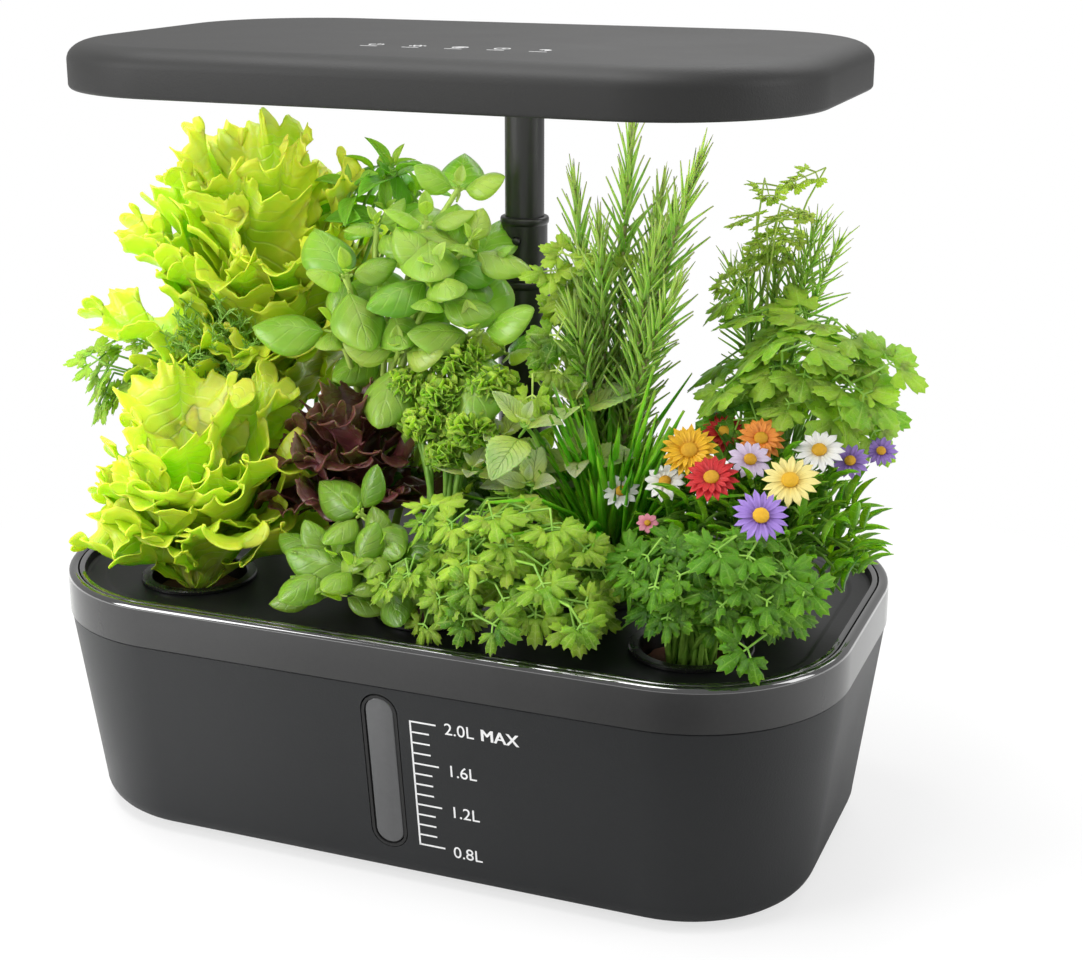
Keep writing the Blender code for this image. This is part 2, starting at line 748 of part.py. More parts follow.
def basket_mesh():
    """A net basket with its flange at height zero: tapered, open at the top, slotted and drained."""
    taper = (pod_radius - pod_foot_radius) / pod_depth
    seat = pod_radius - pod_wall
    outer = [
        (pod_foot_radius, -pod_depth),
        (pod_radius - gap, 0.0),
        (pod_radius + pod_flange_width, 0.0),
        (pod_radius + pod_flange_width, pod_flange_thickness),
    ]
    inner = [
        (seat, pod_flange_thickness),
        (pod_foot_radius - pod_wall + taper * pod_wall, pod_wall - pod_depth),
        (pod_drain_radius, pod_wall - pod_depth),
        (pod_drain_radius, -pod_depth),
    ]
    basket = piece("basket_shape", turned(outer + inner, joined=True), charcoal)
    slots = star(pod_slot_count, pod_drain_radius, pod_radius + cut_overrun, pod_slot_width)
    boolean(basket, "basket_slots_cut", slab(slots, pod_slot_to_floor - pod_depth, -pod_slot_from_top))
    evaluated = basket.evaluated_get(bpy.context.evaluated_depsgraph_get())
    mesh = bpy.data.meshes.new_from_object(evaluated)
    for used in (basket, bpy.data.objects["basket_slots_cut"]):
        bpy.data.objects.remove(used, do_unlink=True)
    return mesh


def make_pods():
    """Seven baskets in the deck, each with its plug of grow medium."""
    shared = basket_mesh()
    taper = (pod_radius - pod_foot_radius) / pod_depth
    inside = pod_radius - pod_wall - sponge_clearance
    low = sponge_top - sponge_height
    top_radius = inside - taper * sponge_sunk
    profile = [
        (inside - taper * (sponge_sunk + sponge_height), low),
        (top_radius, sponge_top - sponge_crown),
        (top_radius - sponge_crown, sponge_top),
    ]
    for number, (pod_x, pod_y) in enumerate(pod_places, 1):
        basket = bpy.data.objects.new(f"pod_basket_{number}", shared)
        bpy.context.scene.collection.objects.link(basket)
        basket.location = (pod_x, pod_y, pod_rest)
        basket.parent = deck_lift
        basket.matrix_parent_inverse = Matrix.Translation(-deck_lift.location)
        plug = place(turned(profile, small_round_steps), Matrix.Translation((pod_x, pod_y, 0.0)))
        piece(f"grow_sponge_{number}", plug, peat, deck_lift, (pod_x, pod_y, sponge_top))


def stage_tube(outer, inner, low, high):
    """A mast stage with a small rolled lip round the outside of its top."""
    return [
        (outer, low),
        (outer, high - stage_lip_height),
        (outer + stage_lip, high - stage_lip_height + stage_lip),
        (outer + stage_lip, high - stage_lip),
        (outer, high),
        (inner, high),
    ]


def make_mast():
    """The socket with its locknut, the sleeve with its snap button, and the tube with its detent holes."""
    stand = Matrix.Translation((0.0, mast_y, 0.0))
    flange_low = deck_top - deck_step_drop + gap
    flange_high = flange_low + socket_flange_thickness
    profile = [
        (socket_tail_radius, flange_low - socket_tail_length),
        (socket_tail_radius, flange_low),
        (socket_flange_radius, flange_low),
        (socket_flange_radius, flange_high - socket_flange_thickness / 2),
        (socket_radius + socket_flange_thickness, flange_high),
        (socket_radius, flange_high + socket_flange_thickness),
    ]
    profile += stage_tube(socket_radius, socket_bore, flange_high + 2 * socket_flange_thickness, socket_top)
    profile += [(socket_bore, sleeve_floor)]
    piece("mast_socket", place(turned(profile, mast_steps), stand), satin, deck_lift)

    nut_top = deck_underside - deck_step_drop - gap
    nut_bore = socket_tail_radius + gap
    flat = nut_bore + locknut_wall
    hexagon = []
    for step in range(locknut_steps):
        turn = 2 * math.pi * step / locknut_steps
        reach = flat / math.cos(turn % (math.pi / 3) - math.pi / 6)
        hexagon.append(Vector((reach * math.cos(turn), reach * math.sin(turn))))
    ring = circle(nut_bore, len(hexagon))
    nut_low = nut_top - locknut_height
    rings = [
        at_height(hexagon, nut_low),
        at_height(hexagon, nut_top),
        at_height(ring, nut_top),
        at_height(ring, nut_low),
    ]
    piece("mast_locknut", place(loft(rings, True), stand), charcoal, deck_lift)

    sleeve = stage_tube(sleeve_radius, sleeve_bore, sleeve_bottom, sleeve_top)
    sleeve.append((sleeve_bore, sleeve_bottom))
    sleeve_object = piece(
        "mast_sleeve",
        place(turned(sleeve, mast_steps, True), stand),
        satin,
        sleeve_slide,
        sleeve_slide.location,
    )
    hole_radius = snap_radius + snap_clearance
    reach = sleeve_radius + cut_overrun
    port = slab(circle(hole_radius, port_steps), 0.0, reach)
    to_front = Matrix.Rotation(math.pi / 2, 4, "X")
    snap_place = Matrix.Translation((0.0, mast_y, snap_height)) @ to_front
    boolean(sleeve_object, "snap_hole_cut", place(port, snap_place))

    button = [
        (snap_radius, sleeve_bore),
        (snap_radius, sleeve_radius + snap_proud - snap_dome),
        (snap_radius / 2, sleeve_radius + snap_proud),
    ]
    nose = place(turned(button, small_round_steps), snap_place)
    piece("mast_snap_button", nose, satin, sleeve_slide, (0.0, mast_y - sleeve_radius, snap_height))

    tube_low = sleeve_top - tube_inside_sleeve
    tube_high = lamp_underside + tube_into_lamp
    bore = tube_radius - tube_wall
    profile = [(bore, tube_high - tube_cap), (bore, tube_low)]
    profile += [(tube_radius, tube_low), (tube_radius, tube_high)]
    tube = piece(
        "mast_tube", place(turned(profile, mast_steps), stand), satin, tube_slide, tube_slide.location
    )
    ports = []
    for number in range(detent_count):
        drop = number * tube_travel / (detent_count - 1)
        port = slab(circle(hole_radius, port_steps), 0.0, reach)
        ports.append(place(port, Matrix.Translation((0.0, 0.0, -drop)) @ snap_place))
    boolean(tube, "detent_holes_cut", join(*ports))


def make_lamp():
    """The light head: cover, tray, LED board, touch board, collar and power inlet."""
    ceiling = lamp_top - lamp_wall
    shoulder_start = lamp_top - lamp_shoulder_drop
    shoulder = quarter_round(0.0, shoulder_start, lamp_shoulder_run, lamp_shoulder_drop, 4, True)
    inner_shoulder = [
        (lamp_shoulder_run + lamp_wall, ceiling),
        (lamp_wall, shoulder_start - lamp_wall / 2),
        (lamp_wall, lamp_underside + lamp_edge_round / 2),
    ]
    lip = [(lamp_wall - lamp_edge_round / 2, lamp_underside), (lamp_edge_round, lamp_underside)]
    soft = lamp_edge_round / 4
    edge = [(soft, lamp_underside + soft), (0.0, lamp_underside + lamp_edge_round)]
    profile = inner_shoulder + lip + edge + shoulder
    shell = inset_loft(lamp_length, lamp_width, lamp_corner, profile)
    cover = piece("lamp_cover", shell, charcoal, tube_slide)
    inlet_height = tray_top + 2 * gap + inlet_radius
    back = Matrix.Translation((inlet_x, lamp_width / 2, inlet_height)) @ Matrix.Rotation(-math.pi / 2, 4, "X")
    port = slab(circle(inlet_radius + gap, small_round_steps), -lamp_wall - cut_overrun, cut_overrun)
    boolean(cover, "inlet_hole_cut", place(port, back))

    inlet = [
        (inlet_radius, -inlet_length),
        (inlet_radius, 0.0),
        (inlet_bore_radius, 0.0),
        (inlet_bore_radius, inlet_floor - inlet_length),
        (inlet_pin_radius, inlet_floor - inlet_length),
        (inlet_pin_radius, -inlet_pin_sunk),
    ]
    piece("power_inlet", place(turned(inlet, small_round_steps), back), satin, tube_slide)

    tray_inset = lamp_wall + gap
    outer = rounded(lamp_length - 2 * tray_inset, lamp_width - 2 * tray_inset, lamp_corner - tray_inset)
    inner = rounded(tray_window_length, tray_window_width, tray_window_corner)
    shift = Vector((0.0, tray_window_shift))
    inner = [point + shift for point in inner]
    rings = [
        at_height(outer, tray_bottom),
        at_height(outer, tray_top),
        at_height(inner, tray_top),
        at_height(inner, tray_bottom),
    ]
    tray = piece("lamp_tray", loft(rings, True), charcoal, tube_slide)
    hole = slab(circle(tube_radius + gap, round_steps), tray_bottom - cut_overrun, tray_top + cut_overrun)
    boolean(tray, "tube_hole_cut", place(hole, Matrix.Translation((0.0, mast_y, 0.0))))

    board_low = tray_top + gap
    length = tray_window_length + 2 * led_board_margin
    width = tray_window_width + 2 * led_board_margin
    piece("led_board", led_board(length, width, board_low), board, tube_slide)

    high = ceiling - gap
    outline = rounded(touch_board_length, touch_board_width, touch_board_thickness, small_corner_steps)
    strip = slab(outline, high - touch_board_thickness, high)
    place(strip, Matrix.Translation((touch_board_x, touch_board_y, 0.0)))
    piece("touch_board", strip, board, tube_slide)

    collar_top = tray_bottom - gap
    ring = tube_radius + gap
    profile = [
        (ring + collar_wall / 2, collar_top - collar_height),
        (ring + collar_wall, collar_top - collar_height / 2),
        (ring + collar_wall, collar_top),
        (ring, collar_top),
        (ring, collar_top - collar_height),
    ]
    stand = Matrix.Translation((0.0, mast_y, 0.0))
    piece("lamp_collar", place(turned(profile, mast_steps, True), stand), satin, tube_slide)


def led_board(length, width, low):
    """The LED board: a plate whose underside is a grid, with every other cell drawn down as a diode."""
    bm = bmesh.new()
    xs = [0.0]
    ys = [0.0]
    for marks, count, span in ((xs, led_columns, length), (ys, led_rows, width)):
        pitch = span / count
        for number in range(count):
            start = number * pitch + (pitch - led_side) / 2
            marks.extend((start, start + led_side))
        marks.append(span)
    middle = Vector((length / 2, width / 2 - tray_window_shift, -low))
    rows = [[bm.verts.new(Vector((x, y, 0.0)) - middle) for x in xs] for y in ys]
    for row in range(len(ys) - 1):
        for column in range(len(xs) - 1):
            near = rows[row][column : column + 2]
            far = rows[row + 1][column : column + 2]
            bm.faces.new((near[0], far[0], far[1], near[1]))
    diodes = [face for number, face in enumerate(bm.faces) if is_diode(number, len(xs) - 1)]
    rim = [edge for edge in bm.edges if edge.is_boundary]
    lifted = bmesh.ops.extrude_edge_only(bm, edges=rim)["geom"]
    top = [made for made in lifted if isinstance(made, bmesh.types.BMVert)]
    bmesh.ops.translate(bm, vec=(0.0, 0.0, led_board_thickness), verts=top)
    bmesh.ops.contextual_create(bm, geom=[made for made in lifted if isinstance(made, bmesh.types.BMEdge)])
    for face in bmesh.ops.extrude_discrete_faces(bm, faces=diodes)["faces"]:
        bmesh.ops.translate(bm, vec=(0.0, 0.0, -led_height), verts=face.verts)
    bmesh.ops.recalc_face_normals(bm, faces=bm.faces)
    return bm


def is_diode(number, columns):
    """Whether a cell of the grid is in an odd row and an odd column."""
    return (number // columns) % 2 == 1 and (number % columns) % 2 == 1


def nearest_between(first, second):
    """The nearest points of two straight axes, each given by its two ends."""
    (start_a, end_a), (start_b, end_b) = first, second
    along_a = end_a - start_a
    along_b = end_b - start_b
    between = start_a - start_b
    dot_aa = along_a.dot(along_a)
    dot_bb = along_b.dot(along_b)
    dot_ab = along_a.dot(along_b)
    dot_a = along_a.dot(between)
    dot_b = along_b.dot(between)
    cross = dot_aa * dot_bb - dot_ab * dot_ab
    share_a = min(max((dot_ab * dot_b - dot_a * dot_bb) / cross, 0.0), 1.0) if cross > 0 else 0.0
    share_b = min(max((dot_ab * share_a + dot_b) / dot_bb, 0.0), 1.0)
    share_a = min(max((dot_ab * share_b - dot_a) / dot_aa, 0.0), 1.0)
    return start_a + along_a * share_a, start_b + along_b * share_b


def plant_axis(pod, root_shares, heart_shares):
    """The line from a plant's collar, above its root and level with the rim, to the heart of its foliage."""
    pod_x, pod_y = pod_places[pod - 1]
    hold = pod_radius - pod_wall - sponge_clearance
    collar = Vector((pod_x + root_shares[0] * hold, pod_y + root_shares[1] * hold, foliage_floor))
    heart = Vector((
        heart_shares[0] * tank_length / 2,
        heart_shares[1] * tank_width / 2,
        deck_top + heart_shares[2] * growing_room,
    ))
    return collar, heart


def plant_walls(name):
    """The planes that keep a plant from its neighbours, the mast and the lamp: a point and a side of each."""
    _, pod, root_shares, heart_shares, reach = plant_shares[name]
    own = plant_axis(pod, root_shares, heart_shares)
    walls = [(Vector((0.0, 0.0, foliage_ceiling)), Vector((0.0, 0.0, 1.0)))]
    for other, (_, other_pod, other_root, other_heart, other_reach) in plant_shares.items():
        if other == name:
            continue
        here, there = nearest_between(own, plant_axis(other_pod, other_root, other_heart))
        outward = (there - here).normalized()
        meeting = here + (there - here) * reach / (reach + other_reach)
        walls.append((meeting - outward * leaf_clearance / 2, outward))
    mast = (Vector((0.0, mast_y, deck_top)), Vector((0.0, mast_y, lamp_underside)))
    here, there = nearest_between(own, mast)
    outward = Vector((there.x - here.x, there.y - here.y, 0.0)).normalized()
    stand_off = socket_radius + stage_lip + mast_clearance
    walls.append((there - outward * stand_off, outward))
    return own, walls


def confine(point, axis, walls):
    """A point drawn in towards the plant's axis until it is inside every wall, smoothly."""
    collar, heart = axis
    along = heart - collar
    share = min(max((point - collar).dot(along) / along.dot(along), 0.0), 1.0)
    middle = collar + along * share
    away = point - middle
    reach_share = None
    for wall_point, outward in walls:
        climb = away.dot(outward)
        if climb > 0:
            to_wall = (wall_point - middle).dot(outward) / climb
            reach_share = to_wall if reach_share is None else min(reach_share, to_wall)
    if reach_share is None:
        return point
    squeeze = (1 + reach_share**-squeeze_power) ** (-1 / squeeze_power)
    return middle + away * squeeze


def keep_above_rim(point, collar):
    """A point of the foliage lifted clear of the rim and the deck, unless it belongs to the stem."""
    from_stem = Vector((point.x - collar.x, point.y - collar.y)).length
    soft = rim_clearance
    limit = foliage_floor + soft
    if point.z >= limit or from_stem < collar_radius:
        return point
    return Vector((point.x, point.y, foliage_floor + soft * math.exp((point.z - limit) / soft)))


def lettuce_head(kind, axis, reach, walls):
    """A head of lettuce: one skin through rings that widen into three tiers of frill."""
    collar, heart = axis
    tall = lettuce_height_shares[kind]
    stem = circle(2 * stem_radius, lettuce_points)
    rings = []
    for height in (root_height, collar.z):
        rings.append([Vector((collar.x + point.x, collar.y + point.y, height)) for point in stem])
    for number, (radius_share, height_share, wave_share) in enumerate(lettuce_ring_shares):
        lean = (height_share + 1) / 2
        middle = collar.lerp(heart, lean)
        middle.z = heart.z
        ring = []
        for step in range(lettuce_points):
            turn = 2 * math.pi * step / lettuce_points
            quick = math.sin(lettuce_waves * turn + number * lettuce_ring_turn_share)
            slow = math.sin(lettuce_slow_waves * turn + number)
            wave = quick + lettuce_slow_wave_share * slow
            radius = reach * (radius_share + wave_share * wave / 2)
            lift = math.cos(lettuce_waves * turn + number * lettuce_ring_turn_share)
            height = reach * tall * (height_share + wave_share * lift)
            place = middle + Vector((radius * math.cos(turn), radius * math.sin(turn), height))
            ring.append(keep_above_rim(confine(place, axis, walls), collar))
        rings.append(ring)
    return loft(rings)


def room_share(point, corner, walls):
    """The share of a corner's distance from a point at which it still lies inside every wall."""
    share = 1.0
    for wall_point, outward in walls:
        clear = max((wall_point - point).dot(outward), 0.0) + wall_slip
        climb = abs(corner.dot(outward))
        if climb > clear:
            share = min(share, clear / climb)
    return share


def grow_limb(bm, face, path, half_widths, half_depths, walls):
    """Grow a limb from one face: extrude it to each point of the path and flatten it to a leaf there."""
    for number, point in enumerate(path):
        before = path[number - 1] if number else face.calc_center_median()
        after = path[min(number + 1, len(path) - 1)]
        ahead = (after - before).normalized()
        side = Vector((0.0, 0.0, 1.0)).cross(ahead).normalized()
        normal = ahead.cross(side)
        corners = [side * half_widths[number], normal * half_depths[number]]
        corners = [corner * room_share(point, corner, walls) for corner in corners]
        corners += [-corner for corner in corners]
        face = bmesh.ops.extrude_discrete_faces(bm, faces=[face])["faces"][0]
        middle = face.calc_center_median()
        spokes = [(vert.co - middle) for vert in face.verts]
        fits = []
        for shift in range(4):
            matches = [spoke.normalized().dot(corners[(number + shift) % 4].normalized())
                       for number, spoke in enumerate(spokes)]
            fits.append(sum(matches))
        shift = fits.index(max(fits))
        for place_in_face, vert in enumerate(face.verts):
            vert.co = point + corners[(place_in_face + shift) % 4]
    return face


def off_axis(point, axis):
    """How far a point stands from a plant's leaning axis, on the level."""
    collar, heart = axis
    middle = collar.lerp(heart, (point.z - collar.z) / (heart.z - collar.z))
    return Vector((point.x - middle.x, point.y - middle.y)).length


def stem_point(axis, share):
    """A point of the stem, which leaves the collar along the axis and arrives upright at the heart."""
    collar, heart = axis
    early = collar.lerp(heart, stem_early_share)
    late = Vector((heart.x, heart.y, collar.z + (heart.z - collar.z) * stem_lean_share))
    rest = 1 - share
    return collar * rest**3 + early * 3 * share * rest**2 + late * 3 * share**2 * rest + heart * share**3


def stem_ring(axis, share, size):
    """A ring of the stem, square to its run."""
    ahead = stem_point(axis, share + stem_slice_share) - stem_point(axis, share - stem_slice_share)
    ahead.normalize()
    side = (Vector((1.0, 0.0, 0.0)) - ahead * ahead.x).normalized()
    normal = ahead.cross(side)
    middle = stem_point(axis, share)
    return [middle + (side * point.x + normal * point.y) * size for point in circle(stem_radius, stem_sides)]


def foliage(kind, axis, reach, walls):
    """A stem to the plant's heart, with a limb grown from each of its sides into a sector of its own."""
    collar, heart = axis
    levels, lowest, highest, height_share, width_share = habits[kind]
    crown_start, crown_end = crown_shares[kind]
    stations = limb_station_shares[kind]
    depth_share = limb_depth_shares.get(kind, 0.0)
    stem = circle(stem_radius, stem_sides)
    rings = []
    for height in (root_height, collar.z):
        rings.append([Vector((collar.x + point.x, collar.y + point.y, height)) for point in stem])
    for step in range(1, stem_steps + 1):
        rings.append(stem_ring(axis, crown_start * step / stem_steps, 1.0))
    for level in range(1, levels + 1):
        share = crown_start + (crown_end - crown_start) * level / levels
        rings.append(stem_ring(axis, share, 1 - stem_taper_share * level / levels))
    bm = loft(rings)
    bm.faces.ensure_lookup_table()
    first = (stem_steps + 1) * stem_sides
    buds = list(bm.faces)[first : first + levels * stem_sides]
    for number, face in enumerate(buds):
        level, side = divmod(number, stem_sides)
        bud = face.calc_center_median()
        slope = math.radians(lowest + (highest - lowest) * level / (levels - 1))
        turn = 2 * math.pi * (side + 0.5 + limb_twist_share * level / levels) / stem_sides
        out = Vector((math.cos(turn) * math.cos(slope), math.sin(turn) * math.cos(slope), math.sin(slope)))
        length = reach * (1 + limb_length_wave * math.sin(number * golden_turn))
        tip = heart + Vector((out.x * length, out.y * length, out.z * length * height_share))
        bow = reach * (1 - math.sin(slope)) * limb_bow_share
        bend = bud.lerp(tip, 0.5) + Vector((0.0, 0.0, bow))
        path = []
        half_widths = []
        for along, width in stations:
            point = bud * (1 - along) ** 2 + bend * 2 * along * (1 - along) + tip * along**2
            room = sector_share * off_axis(point, axis)
            path.append(confine(point, axis, walls))
            half_widths.append(max(min(width * width_share * reach, room), petiole_radius))
        half_depths = [max(half_width * depth_share, leaf_thickness / 2) for half_width in half_widths]
        grow_limb(bm, face, path, half_widths, half_depths, walls)
    for vert in bm.verts:
        if vert.co.z > root_height:
            vert.co = keep_above_rim(vert.co, collar)
    return bm


plant_finishes = {
    "lettuce_front_left": leaf_light,
    "lettuce_back_left": leaf_light,
    "red_lettuce": leaf_red,
    "rosemary": leaf_grey,
    "dill_left": leaf_grey,
    "dill_right": leaf_grey,
    "daisies": petals,
}


def make_plants():
    """Every plant of the crop, each inside its own walls so that no two touch."""
    for name, (kind, _, _, _, reach_share) in plant_shares.items():
        axis, walls = plant_walls(name)
        reach = reach_share * tank_width
        grow = lettuce_head if kind in lettuce_height_shares else foliage
        grown = grow(kind, axis, reach, walls)
        piece(name, grown, plant_finishes.get(name, leaf_green), deck_lift, axis[0], leaf_smooth_angle)


make_tank()
make_band()
make_window()
make_feet()
make_pump()
make_deck()
make_flap()
make_pods()
make_mast()
make_lamp()
make_plants()
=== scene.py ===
# %% [markdown]
# A countertop hydroponic garden, dressed for a photograph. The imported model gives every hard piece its
# place. This lesson gives the moulded plastic its finish, prints the level scale, and grows the crop leaf
# by leaf, because sixteen kinds of foliage are what the eye meets first.

# %% Load the fixed frame
import math
import random

import bmesh
import bpy
from mathutils import Matrix, Vector, noise


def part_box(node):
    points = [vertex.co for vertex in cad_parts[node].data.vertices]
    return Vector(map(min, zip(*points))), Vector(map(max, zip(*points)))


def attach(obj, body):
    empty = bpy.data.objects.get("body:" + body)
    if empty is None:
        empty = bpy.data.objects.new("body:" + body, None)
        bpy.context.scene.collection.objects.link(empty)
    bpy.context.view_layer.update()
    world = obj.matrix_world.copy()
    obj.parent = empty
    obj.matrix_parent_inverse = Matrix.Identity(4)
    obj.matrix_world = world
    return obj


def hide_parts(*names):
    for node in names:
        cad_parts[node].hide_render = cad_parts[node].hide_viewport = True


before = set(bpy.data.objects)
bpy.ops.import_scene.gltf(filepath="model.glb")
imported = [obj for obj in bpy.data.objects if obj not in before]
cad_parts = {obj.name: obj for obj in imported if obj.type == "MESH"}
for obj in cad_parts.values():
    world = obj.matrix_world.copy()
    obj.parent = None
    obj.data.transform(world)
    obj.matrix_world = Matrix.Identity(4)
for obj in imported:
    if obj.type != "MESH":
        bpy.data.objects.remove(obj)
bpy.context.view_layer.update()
scene = bpy.context.scene

# %% [markdown]
# The camera stands where the photographer stood: a little right of the front, looking down at sixteen
# degrees from a short distance, so the near edge of the tank looks clearly wider than the far one.

# %% Camera


def put(name, data):
    """Put an object made of some data into the scene."""
    made = bpy.data.objects.new(name, data)
    scene.collection.objects.link(made)
    return made


camera_turn = math.radians(21.5824)
camera_pitch = math.radians(16.49)
camera = put("camera", bpy.data.cameras.new("camera"))
camera.location = (0.2314, -0.5309, 0.2947)
camera.rotation_euler = (math.pi / 2 - camera_pitch, 0.0, camera_turn)
camera.data.sensor_width = 36.0
camera.data.lens = 62.55
camera.data.shift_x = 0.0052
camera.data.shift_y = -0.0367
camera.data.clip_start = 0.01
scene.camera = camera
scene.view_settings.view_transform = "Standard"
print("camera at", tuple(camera.location))

# %% [markdown]
# Every finish here is a small tree of shader nodes. A few helpers keep those trees short enough to read:
# one adds a node and fills its sockets, one does arithmetic, one moves a value to another range, one mixes
# two colours, and one ends a material with the Principled shader.

# %% Helpers for shader nodes


def node_tree(name):
    """A material and its empty tree."""
    made = bpy.data.materials.new(name)
    made.use_nodes = True
    made.node_tree.nodes.clear()
    return made, made.node_tree


def feed(tree, slot, value):
    """Give a socket a link or a value. A colour is given as red, green and blue."""
    if isinstance(value, bpy.types.NodeSocket):
        tree.links.new(value, slot)
    else:
        slot.default_value = (*value, 1.0) if slot.type == "RGBA" else value


def add(tree, kind, settings=None, **inputs):
    """Add a node and give its first output. Inputs are named as the sockets are, or i0, i1, i2."""
    made = tree.nodes.new(kind)
    for key, value in (settings or {}).items():
        setattr(made, key, value)
    for key, value in inputs.items():
        numbered = key[0] == "i" and key[1:].isdigit()
        feed(tree, made.inputs[int(key[1:]) if numbered else key.replace("_", " ")], value)
    return made.outputs[0] if made.outputs else None


def math_node(tree, operation, first, second=0.0, third=0.0):
    """One step of arithmetic between values or links."""
    return add(tree, "ShaderNodeMath", {"operation": operation}, i0=first, i1=second, i2=third)


def remap(tree, value, low, high, new_low=0.0, new_high=1.0):
    """A value moved from one range to another, without going past its ends."""
    return add(tree, "ShaderNodeMapRange", i0=value, i1=low, i2=high, i3=new_low, i4=new_high)


def blend_colours(tree, factor, first, second):
    """A colour between two colours or links."""
    made = tree.nodes.new("ShaderNodeMix")
    made.data_type = "RGBA"
    for number, value in ((0, factor), (6, first), (7, second)):
        feed(tree, made.inputs[number], value)
    return made.outputs[2]


def coordinates(tree):
    """The place of a point on the piece itself, in metres."""
    return tree.nodes.new("ShaderNodeTexCoord").outputs["Object"]


def principled(tree, **values):
    """End a material with a Principled shader."""
    add(tree, "ShaderNodeOutputMaterial", Surface=add(tree, "ShaderNodeBsdfPrincipled", **values))


def node_group(name, inputs, outputs):
    """A node group with named sockets: its tree, what comes in, and where the results go."""
    tree = bpy.data.node_groups.new(name, "ShaderNodeTree")
    for label, default in inputs.items():
        socket = tree.interface.new_socket(label, in_out="INPUT", socket_type="NodeSocketFloat")
        socket.default_value = default
    for label in outputs:
        tree.interface.new_socket(label, in_out="OUTPUT", socket_type="NodeSocketFloat")
    return tree, tree.nodes.new("NodeGroupInput").outputs, tree.nodes.new("NodeGroupOutput").inputs


def use_group(tree, group, **values):
    """The outputs of a node group that is placed in a material with its own values."""
    return add(tree, "ShaderNodeGroup", {"node_tree": group}, **values).node.outputs


# %% [markdown]
# A white studio: a pale floor that turns white for the camera but still takes a shadow, a world that
# lights evenly, and large soft lamps whose reflections draw the long highlights on the dark plastic. In
# reflections and bounced light the floor is painted dark round a spot at the tank's right front, a
# painted dark reflection on the right of the tank's front wall.

# %% Studio floor
white = (1.0, 1.0, 1.0)
painted_dark_spot = (0.13, -0.27, 0.0)
shadow_reach = (0.14, 0.36)
spot_reach = (0.04, 0.34)


def mesh_of(bm, name):
    """Turn a bmesh into a mesh."""
    mesh = bpy.data.meshes.new(name)
    bm.to_mesh(mesh)
    bm.free()
    return mesh


floor_bm = bmesh.new()
bmesh.ops.create_grid(floor_bm, x_segments=1, y_segments=1, size=4.0)
studio_floor = put("studio_floor", mesh_of(floor_bm, "studio_floor"))
floor_finish, tree = node_tree("studio_floor")
glow = add(tree, "ShaderNodeEmission", Color=white, Strength=1.0)
seen = tree.nodes.new("ShaderNodeLightPath").outputs["Is Camera Ray"]
place = coordinates(tree)
away = add(tree, "ShaderNodeVectorMath", {"operation": "LENGTH"}, i0=place)
white_share = remap(tree, away.node.outputs["Value"], *shadow_reach, 0.68, 1.0)
# Painted reflection: rays other than the camera's see the floor painted dark round a spot at the right front.
# So the right of the tank's front wall reflects a darker floor and gets less bounced light.
off_spot = add(tree, "ShaderNodeVectorMath", {"operation": "DISTANCE"}, i0=place, i1=painted_dark_spot)
painted_reflection_tone = remap(tree, off_spot.node.outputs["Value"], *spot_reach, 0.12, 0.92)
shade = add(tree, "ShaderNodeBsdfDiffuse", Color=remap(tree, seen, 0.0, 1.0, painted_reflection_tone, 0.90))
shown = math_node(tree, "MULTIPLY", seen, white_share)
mixed = add(tree, "ShaderNodeMixShader", i0=shown, i1=shade, i2=glow)
add(tree, "ShaderNodeOutputMaterial", Surface=mixed)
studio_floor.data.materials.append(floor_finish)

# %% World and lamps
world = bpy.data.worlds.new("studio")
scene.world = world
world.use_nodes = True
tree = world.node_tree
tree.nodes.clear()
paths = tree.nodes.new("ShaderNodeLightPath").outputs
clear = math_node(tree, "MAXIMUM", paths["Is Camera Ray"], paths["Is Transmission Ray"])
strength = math_node(tree, "MULTIPLY_ADD", clear, 0.50, 0.50)
add(tree, "ShaderNodeOutputWorld", Surface=add(tree, "ShaderNodeBackground", Color=white, Strength=strength))

crop_middle = Vector((0.0, 0.0, 0.12))
for name, place, size, power in (
    ("overhead_softbox", (-0.25, -0.15, 1.15), (0.9, 0.35), 11.0),
    ("left_softbox", (-0.80, -0.85, 0.55), (0.5, 0.7), 9.5),
    ("right_softbox", (1.10, 0.10, 0.55), (0.4, 0.8), 4.8),
    ("back_softbox", (0.05, 0.95, 1.05), (1.1, 0.5), 5.0),
):
    lamp = put(name, bpy.data.lights.new(name, "AREA"))
    lamp.data.shape = "RECTANGLE"
    lamp.data.size, lamp.data.size_y = size
    lamp.data.energy = power
    lamp.location = place
    lamp.rotation_euler = (crop_middle - Vector(place)).to_track_quat("-Z", "Y").to_euler()

# %% [markdown]
# Moulded plastic is never one flat colour. A spark-eroded mould leaves a grain of half a millimetre, which
# scatters highlights, and the colour drifts very slightly over the part. Both come from one node group.

# %% The grain of moulded plastic
grain_group, entry, leaving = node_group("moulded_grain", {"Grain Size": 0.0005}, ("Tone", "Height"))
spot = coordinates(grain_group)
per_metre = math_node(grain_group, "DIVIDE", 1.0, entry["Grain Size"])
fine = add(grain_group, "ShaderNodeTexNoise", Vector=spot, Scale=per_metre, Detail=2.0, Roughness=0.6)
broad = add(grain_group, "ShaderNodeTexNoise", Vector=spot, Scale=14.0, Detail=3.0, Roughness=0.5)
feed(grain_group, leaving["Tone"], math_node(grain_group, "MULTIPLY_ADD", fine, 0.25, broad))
feed(grain_group, leaving["Height"], fine)


def plastic(name, dark, light, rough, size, strength, **extra):
    """A moulded finish: two tones, a range of roughness, the size of its grain and how much it shows."""
    made, tree = node_tree(name)
    out = use_group(tree, grain_group, Grain_Size=size)
    colour = blend_colours(tree, remap(tree, out["Tone"], 0.35, 0.85), dark, light)
    gloss = remap(tree, out["Tone"], 0.35, 0.85, *rough)
    bump = add(tree, "ShaderNodeBump", Strength=strength, Distance=size * 0.3, Height=out["Height"])
    principled(tree, Base_Color=colour, Roughness=gloss, Normal=bump, **extra)
    return made


def grey(value):
    """A colour without a hue."""
    return value, value, value


